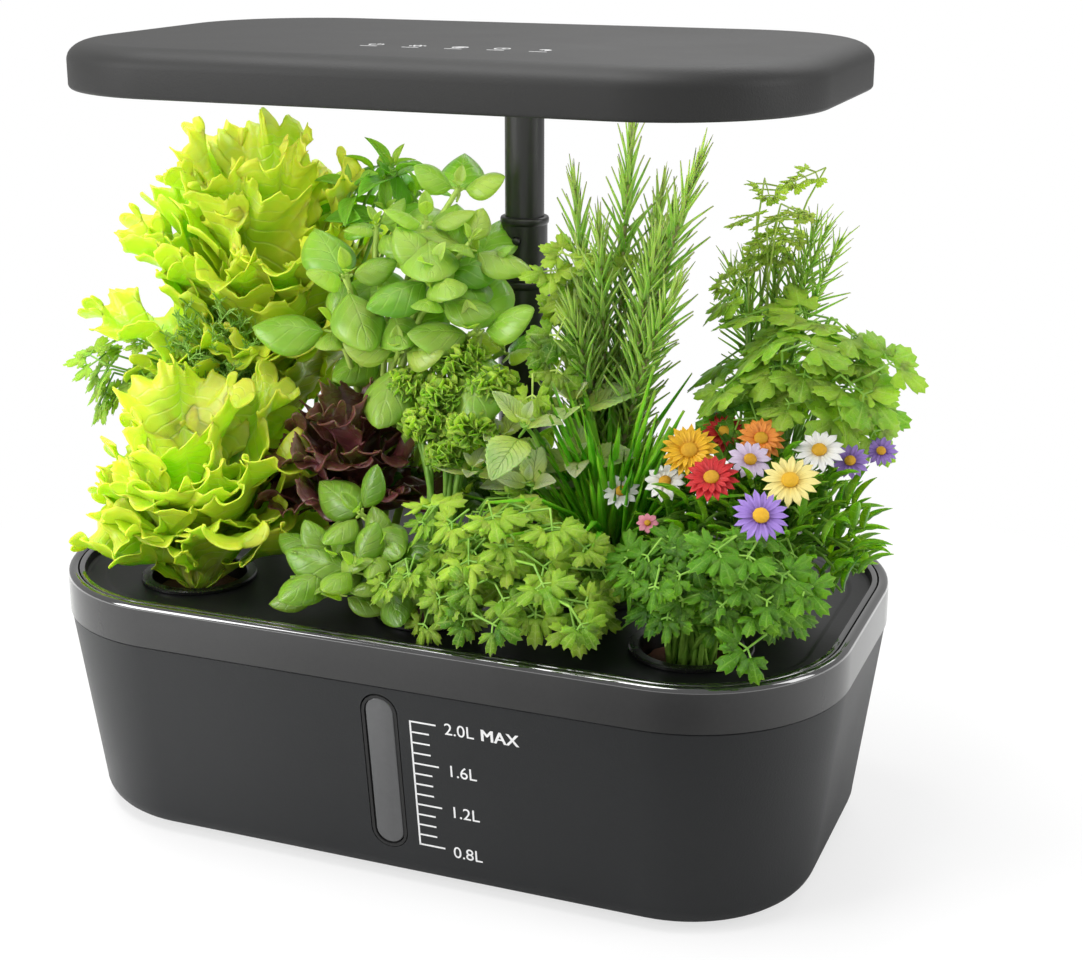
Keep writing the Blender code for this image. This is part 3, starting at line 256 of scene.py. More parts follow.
charcoal = plastic("charcoal_plastic", (0.013, 0.014, 0.015), (0.019, 0.020, 0.021), (0.40, 0.52), 0.0006,
                   0.35, Specular_IOR_Level=0.34)
head_charcoal = plastic("head_charcoal", grey(0.018), (0.025, 0.025, 0.024), (0.48, 0.60), 0.0006, 0.30,
                        Specular_IOR_Level=0.30)
deck_black = plastic("deck_black", (0.009, 0.009, 0.010), (0.014, 0.014, 0.015), (0.34, 0.44), 0.0009, 0.10,
                     Specular_IOR_Level=0.22)
band_black = plastic("band_black", grey(0.023), grey(0.032), (0.14, 0.20), 0.0012, 0.05)
edge_black = plastic("edge_black", grey(0.010), grey(0.014), (0.10, 0.14), 0.0012, 0.02, Coat_Weight=1.0,
                     Coat_Roughness=0.04, Coat_IOR=2.0)
cup_black = plastic("cup_black", grey(0.006), grey(0.010), (0.22, 0.34), 0.0010, 0.10)
mast_black = plastic("mast_black", grey(0.014), grey(0.021), (0.30, 0.38), 0.0004, 0.10)
rubber = plastic("rubber", grey(0.010), grey(0.020), (0.70, 0.85), 0.0004, 0.30)
window_smoke = plastic("window_smoke", (0.085, 0.086, 0.088), (0.110, 0.111, 0.113), (0.20, 0.26), 0.0020,
                       0.05)
print_white = plastic("print_white", grey(0.80), grey(0.90), (0.45, 0.60), 0.0003, 0.10)
print_grey = plastic("print_grey", grey(0.50), grey(0.62), (0.45, 0.60), 0.0003, 0.10)
board_tones = ((0.66, 0.67, 0.66), (0.78, 0.78, 0.77), (0.35, 0.50), 0.0010, 0.10)
board_white = plastic("board_white", *board_tones)
board_lit = plastic("board_lit", *board_tones, Emission_Color=(1.0, 0.97, 0.90), Emission_Strength=1.2)
pump_grey = plastic("pump_grey", (0.06, 0.06, 0.07), (0.10, 0.10, 0.11), (0.35, 0.50), 0.0008, 0.15)
pin_steel = plastic("pin_steel", (0.50, 0.50, 0.51), grey(0.62), (0.22, 0.34), 0.0003, 0.10, Metallic=1.0)
peat = plastic("peat", (0.020, 0.008, 0.005), (0.150, 0.055, 0.028), (0.85, 0.95), 0.0016, 1.0)
florets = plastic("florets", (0.50, 0.20, 0.004), (0.86, 0.52, 0.02), (0.60, 0.80), 0.0008, 1.0)
print("plastic finishes made:", len(bpy.data.materials))

# %% [markdown]
# The tank, its band, the deck and the light head all follow one outline: a rectangle with very round
# corners. So one helper draws that outline by bevelling the corners of a square, and a second one extrudes
# the face up a profile of insets and heights, as a lathe would, but round a rectangle.

# %% Rounded shells
outline_steps = 20


def moved(bm, *place):
    """The mesh moved by a distance."""
    bmesh.ops.translate(bm, vec=place, verts=bm.verts)
    return bm


def rounded_face(length, width, corner, height, steps=outline_steps):
    """One flat face in the shape of a rounded rectangle."""
    bm = bmesh.new()
    bmesh.ops.create_grid(bm, x_segments=1, y_segments=1, size=0.5)
    bmesh.ops.scale(bm, vec=(length, width, 1.0), verts=bm.verts)
    bmesh.ops.bevel(bm, geom=bm.verts[:], offset=corner, offset_type="OFFSET", segments=steps, profile=0.5,
                    affect="VERTICES", material=-1)
    return moved(bm, 0.0, 0.0, height)


def rounded_shell(length, width, corner, profile, ring=False, steps=outline_steps):
    """A solid whose side follows a profile of (inset, height), closed by faces or joined into a ring."""
    inset, height = profile[0]
    bm = rounded_face(length - 2 * inset, width - 2 * inset, corner - inset, height, steps)
    face = bm.faces[:][0]
    middle = Vector((length / 2 - corner, width / 2 - corner))
    for inset, height in profile[1:] + ([profile[0]] if ring else []):
        face = bmesh.ops.extrude_discrete_faces(bm, faces=[face])["faces"][0]
        for vert in face.verts:
            heart = Vector((math.copysign(middle.x, vert.co.x), math.copysign(middle.y, vert.co.y)))
            out = (vert.co.xy - heart).normalized()
            vert.co.xy = heart + out * (corner - inset)
            vert.co.z = height
    if ring:
        bmesh.ops.delete(bm, geom=[face], context="FACES_ONLY")
        bmesh.ops.remove_doubles(bm, verts=bm.verts, dist=0.00001)
    else:
        bmesh.ops.holes_fill(bm, edges=[edge for edge in bm.edges if edge.is_boundary], sides=0)
    return bm


def arc_profile(start, finish, steps, bulge_first):
    """Profile points round a quarter ellipse between two points: the inset or the height moves first."""
    points = []
    for step in range(1, steps + 1):
        turn = step / steps * math.pi / 2
        slow, quick = 1 - math.cos(turn), math.sin(turn)
        shares = (quick, slow) if bulge_first else (slow, quick)
        points.append(tuple(a + (b - a) * share for a, b, share in zip(start, finish, shares)))
    return points


# %% [markdown]
# Each finished mesh becomes a piece: it rides on the body that carries it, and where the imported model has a
# plainer solid for the same part, the piece stands for that solid. Openings are cut by other meshes.

# %% Pieces and cuts


def smooth_shade(mesh, sharp=35.0):
    """Shade a mesh smooth, but for its edges that turn by more than some degrees."""
    mesh.shade_smooth()
    mesh.set_sharp_from_angle(angle=math.radians(sharp))


def make_piece(name, bm, material, body, nodes=(), sharp=35.0):
    """Turn a bmesh into a smooth-shaded piece that rides on a body and stands for its CAD nodes."""
    bmesh.ops.recalc_face_normals(bm, faces=bm.faces)
    made = put(name, mesh_of(bm, name))
    smooth_shade(made.data, sharp)
    made.data.materials.append(material)
    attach(made, body)
    if nodes:
        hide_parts(*nodes)
    return made


def cut(piece, *cutters):
    """Cut a piece by other meshes and keep the result as its mesh."""
    for cutter in cutters:
        bmesh.ops.recalc_face_normals(cutter, faces=cutter.faces)
        tool = put("cutter", mesh_of(cutter, "cutter"))
        modifier = piece.modifiers.new("cut", "BOOLEAN")
        modifier.object = tool
        modifier.solver = "EXACT"
        evaluated = piece.evaluated_get(bpy.context.evaluated_depsgraph_get())
        result = bpy.data.meshes.new_from_object(evaluated)
        piece.modifiers.clear()
        piece.data = result
        result.name = piece.name
        bpy.data.objects.remove(tool)


def polish_edge(piece, height):
    """Give the faces above a height the high gloss that draws a bright line round the rim."""
    piece.data.materials.append(edge_black)
    for face in piece.data.polygons:
        face.material_index = 1 if face.center.z > height else 0


def extrude_all(bm, **options):
    """Extrude all faces of a bmesh as one, and give the vertices that this makes."""
    made = bmesh.ops.extrude_face_region(bm, geom=bm.faces[:], **options)["geom"]
    return [item for item in made if isinstance(item, bmesh.types.BMVert)]


def middle_of(node):
    """The middle of a CAD node's box."""
    return [(low + high) / 2 for low, high in zip(*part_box(node))]


def size_of(node):
    """The length, width and height of a CAD node's box."""
    return [high - low for low, high in zip(*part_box(node))]


# %% [markdown]
# The tank is a drafted tub: its wall leans in towards the bottom, and the lower edge is round. Over it
# sits a glossy band, whose rolled lip catches the brightest line of light in the whole picture.

# %% Tank and band
gap = 0.0003
tank_corner = 0.0495
tank_length, tank_width, band_tall = size_of("rim_band")
pad_drop = 0.0006
pad_inset = 0.0460
pad_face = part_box("reservoir_tank")[0].z
tank_bottom = pad_face + pad_drop
tank_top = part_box("rim_band")[1].z
seam = tank_top - (band_tall + gap)
seam_groove = 0.0007
draft = 0.0080
edge_round = 0.0080
tank_wall = 0.0026
band_wall = 0.0019
lip_width = 0.0032
lip_round = 0.0016
spigot_inset = band_wall + gap
spigot_top = tank_top - 0.0060
spigot_inner = spigot_inset + 0.0022
wall_foot = (draft, tank_bottom + edge_round)
inner_foot = (draft + tank_wall, tank_bottom + edge_round)
floor_inset = draft + edge_round

profile = [(pad_inset, pad_face), (pad_inset, tank_bottom), (floor_inset, tank_bottom)]
profile += arc_profile((floor_inset, tank_bottom), wall_foot, 8, True)
profile += [(0.0004, seam - 0.0003), (seam_groove, seam)]
profile += [(spigot_inset, seam), (spigot_inset, spigot_top)]
profile += [(spigot_inner, spigot_top), (spigot_inner, seam)]
profile += [inner_foot] + arc_profile(inner_foot, (floor_inset, tank_bottom + tank_wall), 4, False)
tank = rounded_shell(tank_length, tank_width, tank_corner, profile)
tank = make_piece("tank_shell", tank, charcoal, "root", ["reservoir_tank"])

profile = [(0.0, seam + gap), (0.0, tank_top - lip_round)]
profile += arc_profile((0.0, tank_top - lip_round), (lip_round, tank_top), 6, False)
profile += arc_profile((lip_round, tank_top), (lip_width, tank_top - lip_round / 2), 4, True)
profile += [(lip_width, spigot_top + gap), (band_wall, spigot_top + gap), (band_wall, seam + gap)]
band = rounded_shell(tank_length, tank_width, tank_corner, profile, True)
band = make_piece("rim_band_shell", band, band_black, "root", ["rim_band"])
polish_edge(band, tank_top - lip_round)
print("tank", [round(side * 1000, 1) for side in (tank_length, tank_width, tank_top)])

# %% [markdown]
# The level window and its scale sit on the leaning front wall. A small frame of that wall, its own X, its
# own up and its own outward direction, lets every printed line lie exactly on the plastic.

# %% Window pane
window_width = size_of("level_window")[0]
window_tall = 0.0510
window_height = middle_of("level_window")[2]
wall_drop = draft - 0.0004
wall_tall = seam - tank_bottom - edge_round
face_y = -(tank_width / 2 - draft) - wall_drop * ((window_height - tank_bottom - edge_round) / wall_tall)
upright = Matrix.Rotation(math.pi / 2 + math.atan2(wall_drop, wall_tall), 4, "X")
wall = Matrix.Translation((0.0, face_y, window_height)) @ upright
seal_wall = 0.0009
slot_room = 2 * (seal_wall + 2 * gap)
pane_depths = (-0.0028, -0.0002)
pane_edge = 0.0005


def capsule_prism(width, height, low, high):
    """An upright capsule on the wall, given thickness from one depth to another."""
    bm = rounded_face(width, height, width / 2 - 0.00001, low, 16)
    bmesh.ops.translate(bm, vec=(0.0, 0.0, high - low), verts=extrude_all(bm))
    bmesh.ops.transform(bm, matrix=wall, verts=bm.verts)
    return bm


cut(tank, capsule_prism(window_width + slot_room, window_tall + slot_room, -0.012, 0.004))
smooth_shade(tank.data)
pane = capsule_prism(window_width, window_tall, *pane_depths)
rim_edges = [edge for edge in pane.edges if abs(edge.calc_face_angle(0.0)) > 1.0]
bmesh.ops.bevel(pane, geom=rim_edges, offset=pane_edge, offset_type="OFFSET", segments=3, profile=0.5,
                affect="EDGES", material=-1)
make_piece("window_pane", pane, window_smoke, "root", ["level_window"])
print("window", round(window_width * 1000, 1), "mm wide")

# %% [markdown]
# The scale is a white print: an upright line, thirteen ticks, every fourth one long and with its litres,
# and a word at the top. Each stroke is a bar thinner than paper, so the print has an edge that can be seen.

# %% Printed level scale
print_depth = 0.00006
scale_x = 0.0101
scale_low = -0.0238
scale_high = 0.0196
long_tick = 0.0083
short_tick = 0.0059
half_line = 0.00055 / 2
tick_count = 13
number_x = 0.0210
number_size = 0.0056
number_drop = 0.0025
word_shift = 0.0114


def printed_bar(bm, left, right, low, high):
    """A thin printed rectangle on the wall."""
    made = bmesh.ops.create_cube(bm, size=1.0)["verts"]
    bmesh.ops.scale(bm, vec=(right - left, high - low, print_depth), verts=made)
    bmesh.ops.translate(bm, vec=((left + right) / 2, (low + high) / 2, print_depth / 2), verts=made)


def print_words(bm, words, place, bold=0.0):
    """Words as a thin print, at a place."""
    curve = bpy.data.curves.new("words", "FONT")
    curve.body = words
    curve.size = number_size
    curve.extrude = print_depth / 2
    curve.offset = bold
    holder = bpy.data.objects.new("words", curve)
    mesh = bpy.data.meshes.new_from_object(holder)
    mesh.transform(Matrix.Translation(place))
    bpy.data.objects.remove(holder)
    bm.from_mesh(mesh)


level_scale = bmesh.new()
printed_bar(level_scale, scale_x - half_line, scale_x + half_line, scale_low - half_line,
            scale_high + half_line)
for tick in range(tick_count):
    height = scale_low + (scale_high - scale_low) * tick / (tick_count - 1)
    reach = long_tick if tick % 4 == 0 else short_tick
    printed_bar(level_scale, scale_x, scale_x + reach, height - half_line, height + half_line)
    if tick % 4 == 0:
        place = (number_x, height - number_drop, print_depth / 2)
        print_words(level_scale, f"{0.8 + 0.1 * tick:.1f}L", place, 0.00001)
for copy in range(2):
    place = (number_x + word_shift, scale_high - number_drop, print_depth / 2)
    print_words(level_scale, "MAX", Vector((copy * 0.0003, 0.0, copy * 0.00001)) + Vector(place))
bmesh.ops.transform(level_scale, matrix=wall, verts=level_scale.verts)
make_piece("level_scale", level_scale, print_white, "root")
print("scale marks", tick_count)

# %% [markdown]
# The deck drops inside the band. Its own thin lip makes the second bright line of the rim. The plate has
# a hole for each pod, one for the mast and one for the filler. Each pod is a black cup with a plug of
# brown grow medium in it.

# %% Turned pieces


def turned(profile, steps=40, closed=False):
    """Spin a profile of (radius, height) round Z: an open one ends on the axis, a closed one is a ring."""
    bm = bmesh.new()
    verts = [bm.verts.new((radius, 0.0, height)) for radius, height in profile]
    pairs = list(zip(verts, verts[1:])) + ([(verts[-1], verts[0])] if closed else [])
    edges = [bm.edges.new(pair) for pair in pairs]
    bmesh.ops.spin(bm, geom=verts + edges, cent=(0.0, 0.0, 0.0), axis=(0.0, 0.0, 1.0), angle=2 * math.pi,
                   steps=steps, use_merge=True)
    bmesh.ops.remove_doubles(bm, verts=bm.verts, dist=0.000001)
    return bm


def drill(radius, low, high, steps=40):
    """A plain cylinder for cutting a round hole."""
    return turned([(0.0, low), (radius, low), (radius, high), (0.0, high)], steps)


# %% Deck plate
deck_top = tank_top - 0.0042
deck_plate = 0.0020
deck_lip_top = tank_top - 0.0004
lip_inset = lip_width + gap
lip_inner = lip_inset + 0.0020
lip_edge = 0.0006
lip_root = 0.0012
skirt_inset = spigot_inner + gap
skirt_inner = skirt_inset + 0.0018
skirt_foot = spigot_top - 0.0060
step_inset = 0.0120
step_run = 0.0020
step_drop = 0.0007
plate_top = deck_top - step_drop
plate_bottom = deck_top - deck_plate - step_drop
profile = [(step_inset, plate_bottom), (skirt_inner, plate_bottom + step_drop), (skirt_inner, skirt_foot)]
profile += [(skirt_inset, skirt_foot), (skirt_inset, spigot_top + gap), (lip_inset, spigot_top + gap)]
profile += [(lip_inset, deck_lip_top - lip_edge)]
profile += arc_profile((lip_inset, deck_lip_top - lip_edge), (lip_inset + lip_edge, deck_lip_top), 3, False)
profile += arc_profile((lip_inner - lip_edge, deck_lip_top), (lip_inner, deck_lip_top - lip_edge), 3, True)
profile += arc_profile((lip_inner, deck_top + lip_root), (lip_inner + lip_root, deck_top), 3, False)
profile += [(step_inset - 0.0010, deck_top)]
profile += arc_profile((step_inset, deck_top), (step_inset + step_run, plate_top), 4, False)
deck = rounded_shell(tank_length, tank_width, tank_corner, profile)
deck = make_piece("deck_plate", deck, deck_black, "deck", ["planting_deck"])

rim_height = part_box("pod_basket_1")[1].z
pods = [Vector(middle_of(f"pod_basket_{number}")).xy for number in range(1, 8)]
pod_radius = 0.0165
mast_y = middle_of("mast_socket")[1]
mast_hole = 0.0094
throat_place = (middle_of("filler_flap")[0], 0.0450)
throat_size = (0.0228, 0.0118)
throat_corner = 0.0024
deep = 0.01
holes = [moved(drill(pod_radius + gap, -deep, deep), *pod, plate_top) for pod in pods]
holes.append(moved(drill(mast_hole, -deep, deep), 0.0, mast_y, plate_top))
throat = rounded_shell(*throat_size, throat_corner, [(0.0, -deep), (0.0, deep)], steps=4)
cut(deck, *holes, moved(throat, *throat_place, plate_top))
polish_edge(deck, deck_lip_top - lip_edge)
smooth_shade(deck.data)
print("holes in the deck", len(holes) + 1)

# %% Baskets and grow medium
sponge_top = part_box("grow_sponge_1")[1].z
cup_hole = 0.0050
cup_foot = 0.0115
cup_wall = 0.0011
cup_edge = 0.0004
flange_tall = 0.0012
cup_flange = size_of("pod_basket_1")[0] / 2
cup_base = rim_height - size_of("pod_basket_1")[2]
cup_profile = [
    (cup_hole, cup_base), (cup_foot, cup_base), (pod_radius - 0.0003, rim_height - flange_tall),
    (cup_flange, rim_height - flange_tall), (cup_flange, rim_height - cup_edge),
    (cup_flange - cup_edge, rim_height), (pod_radius - cup_wall + cup_edge, rim_height),
    (pod_radius - cup_wall, rim_height - cup_edge),
    (cup_foot - cup_wall, cup_base + cup_wall), (cup_hole, cup_base + cup_wall),
]
for number, pod in enumerate(pods, 1):
    cup = moved(turned(cup_profile, 48, True), *pod, 0.0)
    make_piece(f"pod_cup_{number}", cup, cup_black, "deck", [f"pod_basket_{number}"])
    plug_low, plug_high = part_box(f"grow_sponge_{number}")
    reach = (plug_high.x - plug_low.x) / 2
    plug = bmesh.new()
    bmesh.ops.create_cone(plug, cap_ends=True, cap_tris=False, segments=36, radius1=reach * 0.75,
                          radius2=reach, depth=plug_high.z - plug_low.z)
    moved(plug, *pod, (plug_low.z + plug_high.z) / 2)
    lid = max(plug.faces, key=lambda face: face.calc_center_median().z)
    for ring in range(6):
        bmesh.ops.inset_region(plug, faces=[lid], thickness=reach * 0.13, depth=0.0, use_even_offset=True)
    for vert in plug.verts:
        if vert.co.z > plug_high.z - 0.001:
            vert.co.z += 0.0007 * noise.noise(vert.co * 700.0) - 0.0004
            vert.co.z = min(vert.co.z, plug_high.z)
    make_piece(f"grow_plug_{number}", plug, peat, "deck", [f"grow_sponge_{number}"], 60.0)
print("pods", len(pods))

# %% [markdown]
# The mast is three nested tubes, and the two lower ones end in a small rolled lip. The snap button stands
# in a round port of the middle one, and the upper tube has three such holes, where it can drop in.

# %% Mast stages
port_radius = 0.0017
port_half = 0.003
socket_radius = 0.0090
sleeve_radius = 0.0076
tube_radius = 0.0065
tube_wall = 0.0010
flange_low = plate_top + gap
flange_radius = 0.0140
button_z = middle_of("mast_snap_button")[2]


def to_front(reach, height):
    """What turns a piece made along Z to stand out of the mast's front, at a reach from its axis."""
    return Matrix.Translation((0.0, mast_y - reach, height)) @ Matrix.Rotation(math.pi / 2, 4, "X")


def stage(name, node, radius, body, lip=0.0005, foot=(), ports=()):
    """One tube of the mast with a rolled lip at its top, and a round hole for the button at each port."""
    low, high = (corner.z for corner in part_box(node))
    bore = radius - tube_wall
    profile = [(bore, low), *foot, (radius, low if not foot else foot[-1][1] + 0.0008)]
    profile += [(radius, height + way) for height in ports for way in (-port_half, port_half)]
    profile += [(radius, high - 0.0026), (radius + lip * 0.7, high - 0.0022), (radius + lip, high - 0.0017)]
    profile += [(radius + lip, high - 0.0007), (radius + lip * 0.6, high - 0.0002)]
    profile += [(radius, high), (bore, high)]
    tube = moved(turned(profile, 64, True), 0.0, mast_y, 0.0)
    made = make_piece(name, tube, mast_black, body, [node])
    for height in ports:
        hole = drill(port_radius, 0.0, 0.0045, 24)
        bmesh.ops.transform(hole, matrix=to_front(radius - 0.0022, height), verts=hole.verts)
        cut(made, hole)


socket_foot = [(socket_radius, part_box("mast_socket")[0].z), (socket_radius, flange_low)]
socket_foot += [(flange_radius, flange_low), (flange_radius, flange_low + 0.0008)]
socket_foot += [(socket_radius + 0.0016, flange_low + 0.0016), (socket_radius + 0.0006, flange_low + 0.0026)]
detents = [button_z - drop for drop in (0.060, 0.030, 0.0)]
stage("mast_socket_tube", "mast_socket", socket_radius, "deck", foot=socket_foot)
stage("mast_sleeve_tube", "mast_sleeve", sleeve_radius, "mast_sleeve", ports=(button_z,))
stage("mast_upper_tube", "mast_tube", tube_radius, "lamp", 0.0, ports=detents)
button_profile = [(0.0, 0.0), (0.0014, 0.0), (0.0014, 0.0012)]
button_profile += [(0.0012, 0.0016), (0.0007, 0.0019), (0.0, 0.0020)]
button = turned(button_profile, 24)
button_reach = mast_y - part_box("mast_snap_button")[1].y
bmesh.ops.transform(button, matrix=to_front(button_reach, button_z), verts=button.verts)
make_piece("snap_button", button, mast_black, "mast_snap_button", ["mast_snap_button"])
print("mast detents at", [round(height * 1000, 1) for height in detents])

# %% [markdown]
# The light head is a shallow pan upside down: a flat top, a soft shoulder and an upright edge, over a flat
# frame that holds the board. The frame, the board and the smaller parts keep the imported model's own
# meshes, which are right as they are, so they only get their finish.

# %% Light head
head_length, head_width, _ = size_of("lamp_cover")
head_corner = 0.048
head_base, head_top = (corner.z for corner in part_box("lamp_cover"))
head_wall = 0.0020
shoulder_run = 0.0085
shoulder_start = head_top - 0.0056
edge_soft = 0.0012
profile = [(shoulder_run + head_wall, head_top - head_wall), (head_wall, shoulder_start - head_wall / 2)]
profile += [(head_wall, head_base + edge_soft / 2), (head_wall - edge_soft / 2, head_base)]
profile += arc_profile((edge_soft, head_base), (0.0, head_base + edge_soft), 4, True)
profile += [(0.0, shoulder_start)] + arc_profile((0.0, shoulder_start), (shoulder_run, head_top), 10, False)
head = rounded_shell(head_length, head_width, head_corner, profile)
make_piece("head_cover", head, head_charcoal, "lamp", ["lamp_cover"])
for material, nodes in (
    (head_charcoal, ("lamp_tray",)),
    (board_lit, ("led_board",)),
    (board_white, ("touch_board",)),
    (mast_black, ("power_inlet", "lamp_collar")),
    (pump_grey, ("pump_body", "pump_cover", "pump_riser", "pump_impeller")),
    (rubber, ("window_seal", "foot_front_left", "foot_front_right", "foot_rear_left", "foot_rear_right")),
    (cup_black, ("mast_locknut",)),
    (pin_steel, ("filler_hinge_pin",)),
    (deck_black, ("filler_flap",)),
):
    for node in nodes:
        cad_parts[node].data.materials.clear()
        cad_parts[node].data.materials.append(material)
print("head", round(head_length * 1000, 1), "by", round(head_width * 1000, 1), "mm")

# %% [markdown]
# Five touch icons are printed in a shallow curve near the front of the head: a power ring, a sun, a leaf
# bed, a clock and a crescent, each over a short dash. They are drawn flat and then given a hair of height.

# %% Touch icons
icon_spots = ((-0.0153, -0.0325), (-0.0020, -0.0329), (0.0114, -0.0331), (0.0242, -0.0327),
              (0.0372, -0.0333))
icon_radius = 0.0026
icon_line = 0.00045
icon_height = 0.00008
dash_drop = 0.0052
dash_length = 0.0052
dash_width = 0.0006


def icon_arc(bm, x, y, radius, line=icon_line, start=0.0, sweep=360.0):
    """A printed arc: a short bar swept round a centre, through some degrees."""
    low = bm.verts.new((radius - line / 2, 0.0, 0.0))
    high = bm.verts.new((radius + line / 2, 0.0, 0.0))
    edge = bm.edges.new((low, high))
    turn = Matrix.Rotation(math.radians(start), 3, "Z")
    bmesh.ops.rotate(bm, verts=[low, high], cent=(0.0, 0.0, 0.0), matrix=turn)
    bmesh.ops.spin(bm, geom=[low, high, edge], cent=(0.0, 0.0, 0.0), axis=(0.0, 0.0, 1.0),
                   angle=math.radians(sweep), steps=28, use_merge=sweep == 360.0)
    place_fresh(bm, [vert for vert in bm.verts if not vert.tag], x, y)


def icon_bar(bm, x, y, length, width, turn=0.0):
    """A printed bar at a place, turned in its plane."""
    made = bmesh.ops.create_grid(bm, x_segments=1, y_segments=1, size=0.5)["verts"]
    bmesh.ops.scale(bm, vec=(length, width, 1.0), verts=made)
    bmesh.ops.rotate(bm, verts=made, cent=(0.0, 0.0, 0.0), matrix=Matrix.Rotation(turn, 3, "Z"))
    place_fresh(bm, made, x, y)


def place_fresh(bm, verts, x, y):
    """Move new vertices to their icon and mark them as done."""
    bmesh.ops.translate(bm, vec=(x, y, 0.0), verts=verts)
    for vert in verts:
        vert.tag = True


unit = icon_radius
out = unit * 0.85
turns = [number * math.pi / 4 for number in range(8)]
rays = [(out * math.cos(turn), out * math.sin(turn), unit * 0.3, icon_line, turn) for turn in turns]
icon_strokes = (
    ((unit * 0.8, icon_line, 120.0, 300.0), [(0.0, unit * 0.7, icon_line, unit * 0.9)]),
    ((unit * 0.45,), rays),
    ((unit * 0.85,), [(0.0, row * unit, unit * 0.9, icon_line) for row in (-0.3, 0.0, 0.3)]),
    ((unit * 0.85,), [(0.0, unit * 0.25, icon_line, unit * 0.6), (unit * 0.2, 0.0, unit * 0.5, icon_line)]),
    ((unit * 0.5, unit * 0.55, -70.0, 230.0), []),
)
icons = bmesh.new()
for (x, y), (arc, bars) in zip(icon_spots, icon_strokes):
    icon_arc(icons, x, y, *arc)
    for right, up, *shape in bars:
        icon_bar(icons, x + right, y + up, *shape)
    icon_bar(icons, x, y - dash_drop, dash_length, dash_width)
bmesh.ops.translate(icons, vec=(0.0, 0.0, icon_height), verts=extrude_all(icons))
make_piece("touch_icons", moved(icons, 0.0, 0.0, head_top), print_grey, "lamp")
print("icons", len(icon_spots))

# %% [markdown]
# A crop is thousands of leaves, but only a few shapes of leaf. Each shape is made once, as a flat grid of
# unit length that a formula bends, with its UV map as a ruler across and along the blade. Every leaf of
# the crop is then a copy of its shape, stretched and turned into place, with its own tint.

# %% Leaf shapes
golden_turn = math.pi * (3 - math.sqrt(5))


def thicken(bm, thickness):
    """Turn a sheet into a closed shell: a copy of it moves back along the sheet's own normals."""
    bm.normal_update()
    normals = {vert.co.to_tuple(): vert.normal.copy() for vert in bm.verts}
    for vert in extrude_all(bm, use_keep_orig=True):
        vert.co -= normals[vert.co.to_tuple()] * thickness
    bmesh.ops.recalc_face_normals(bm, faces=bm.faces)


def leaf_template(name, across, along, thickness, shape):
    """A leaf of unit length: shape gives its x, y and z from the share across and the share along."""
    bm = bmesh.new()
    bm.loops.layers.uv.new("leaf")
    bmesh.ops.create_grid(bm, x_segments=across, y_segments=along, size=0.5, calc_uvs=True)
    for vert in bm.verts:
        vert.co = shape(vert.co.x + 0.5, vert.co.y + 0.5)
    bmesh.ops.remove_doubles(bm, verts=bm.verts, dist=0.002)
    bmesh.ops.recalc_face_normals(bm, faces=bm.faces)
    thicken(bm, thickness)
    mesh = mesh_of(bm, name)
    mesh.shade_smooth()
    mesh.attributes.new("tint", "FLOAT", "POINT")
    return mesh


def broad_leaf(half, peak, droop, arch, quilt, ribs, teeth=0, tooth_depth=0.0, fullness=0.75):
    """A leaf like basil's or mint's: an egg outline, a grooved midrib and pillows between the side veins."""

    def shape(u, v):
        side = 2 * u - 1
        tooth = 1 - tooth_depth * abs((v * teeth) % 1 - 0.5) * 2 if teeth else 1.0
        warped = v ** (math.log(0.5) / math.log(peak))
        width = half * max(math.sin(math.pi * warped), 0.0) ** fullness * tooth
        calm = math.sin(math.pi * v)
        pillow = quilt * math.cos(2 * math.pi * ribs * (v - 0.30 * abs(side))) * (1 - side**4) * calm
        groove = -0.030 * math.exp(-((side / 0.14) ** 2)) * calm
        bend = -arch * (v - 0.30) ** 2
        return Vector((side * width, v, droop * abs(side) ** 1.7 * width + bend + pillow + groove))

    return shape


def fan_leaf(radii, spread, ruffle, waves):
    """A leaflet like parsley's: a fan whose radius goes round a list of lobes and notches."""

    def shape(u, v):
        turn = (u - 0.5) * spread
        radius = v * radii[round(u * (len(radii) - 1))]
        lift = ruffle * v * v * math.sin(2 * math.pi * waves * u)
        return Vector((radius * math.sin(turn) * 0.9, radius * math.cos(turn), lift - 0.12 * v * v))

    return shape


def strap_leaf(half, droop, fold):
    """A long narrow blade such as a chive's, folded along its middle and bent over by its own weight."""

    def shape(u, v):
        side = 2 * u - 1
        width = half * (1 - v**3) + 0.0008
        bend = droop * v * v
        lift = fold * abs(side) * width - (1 - math.cos(bend)) * v
        return Vector((side * width, math.sin(bend) / droop, lift))

    return shape


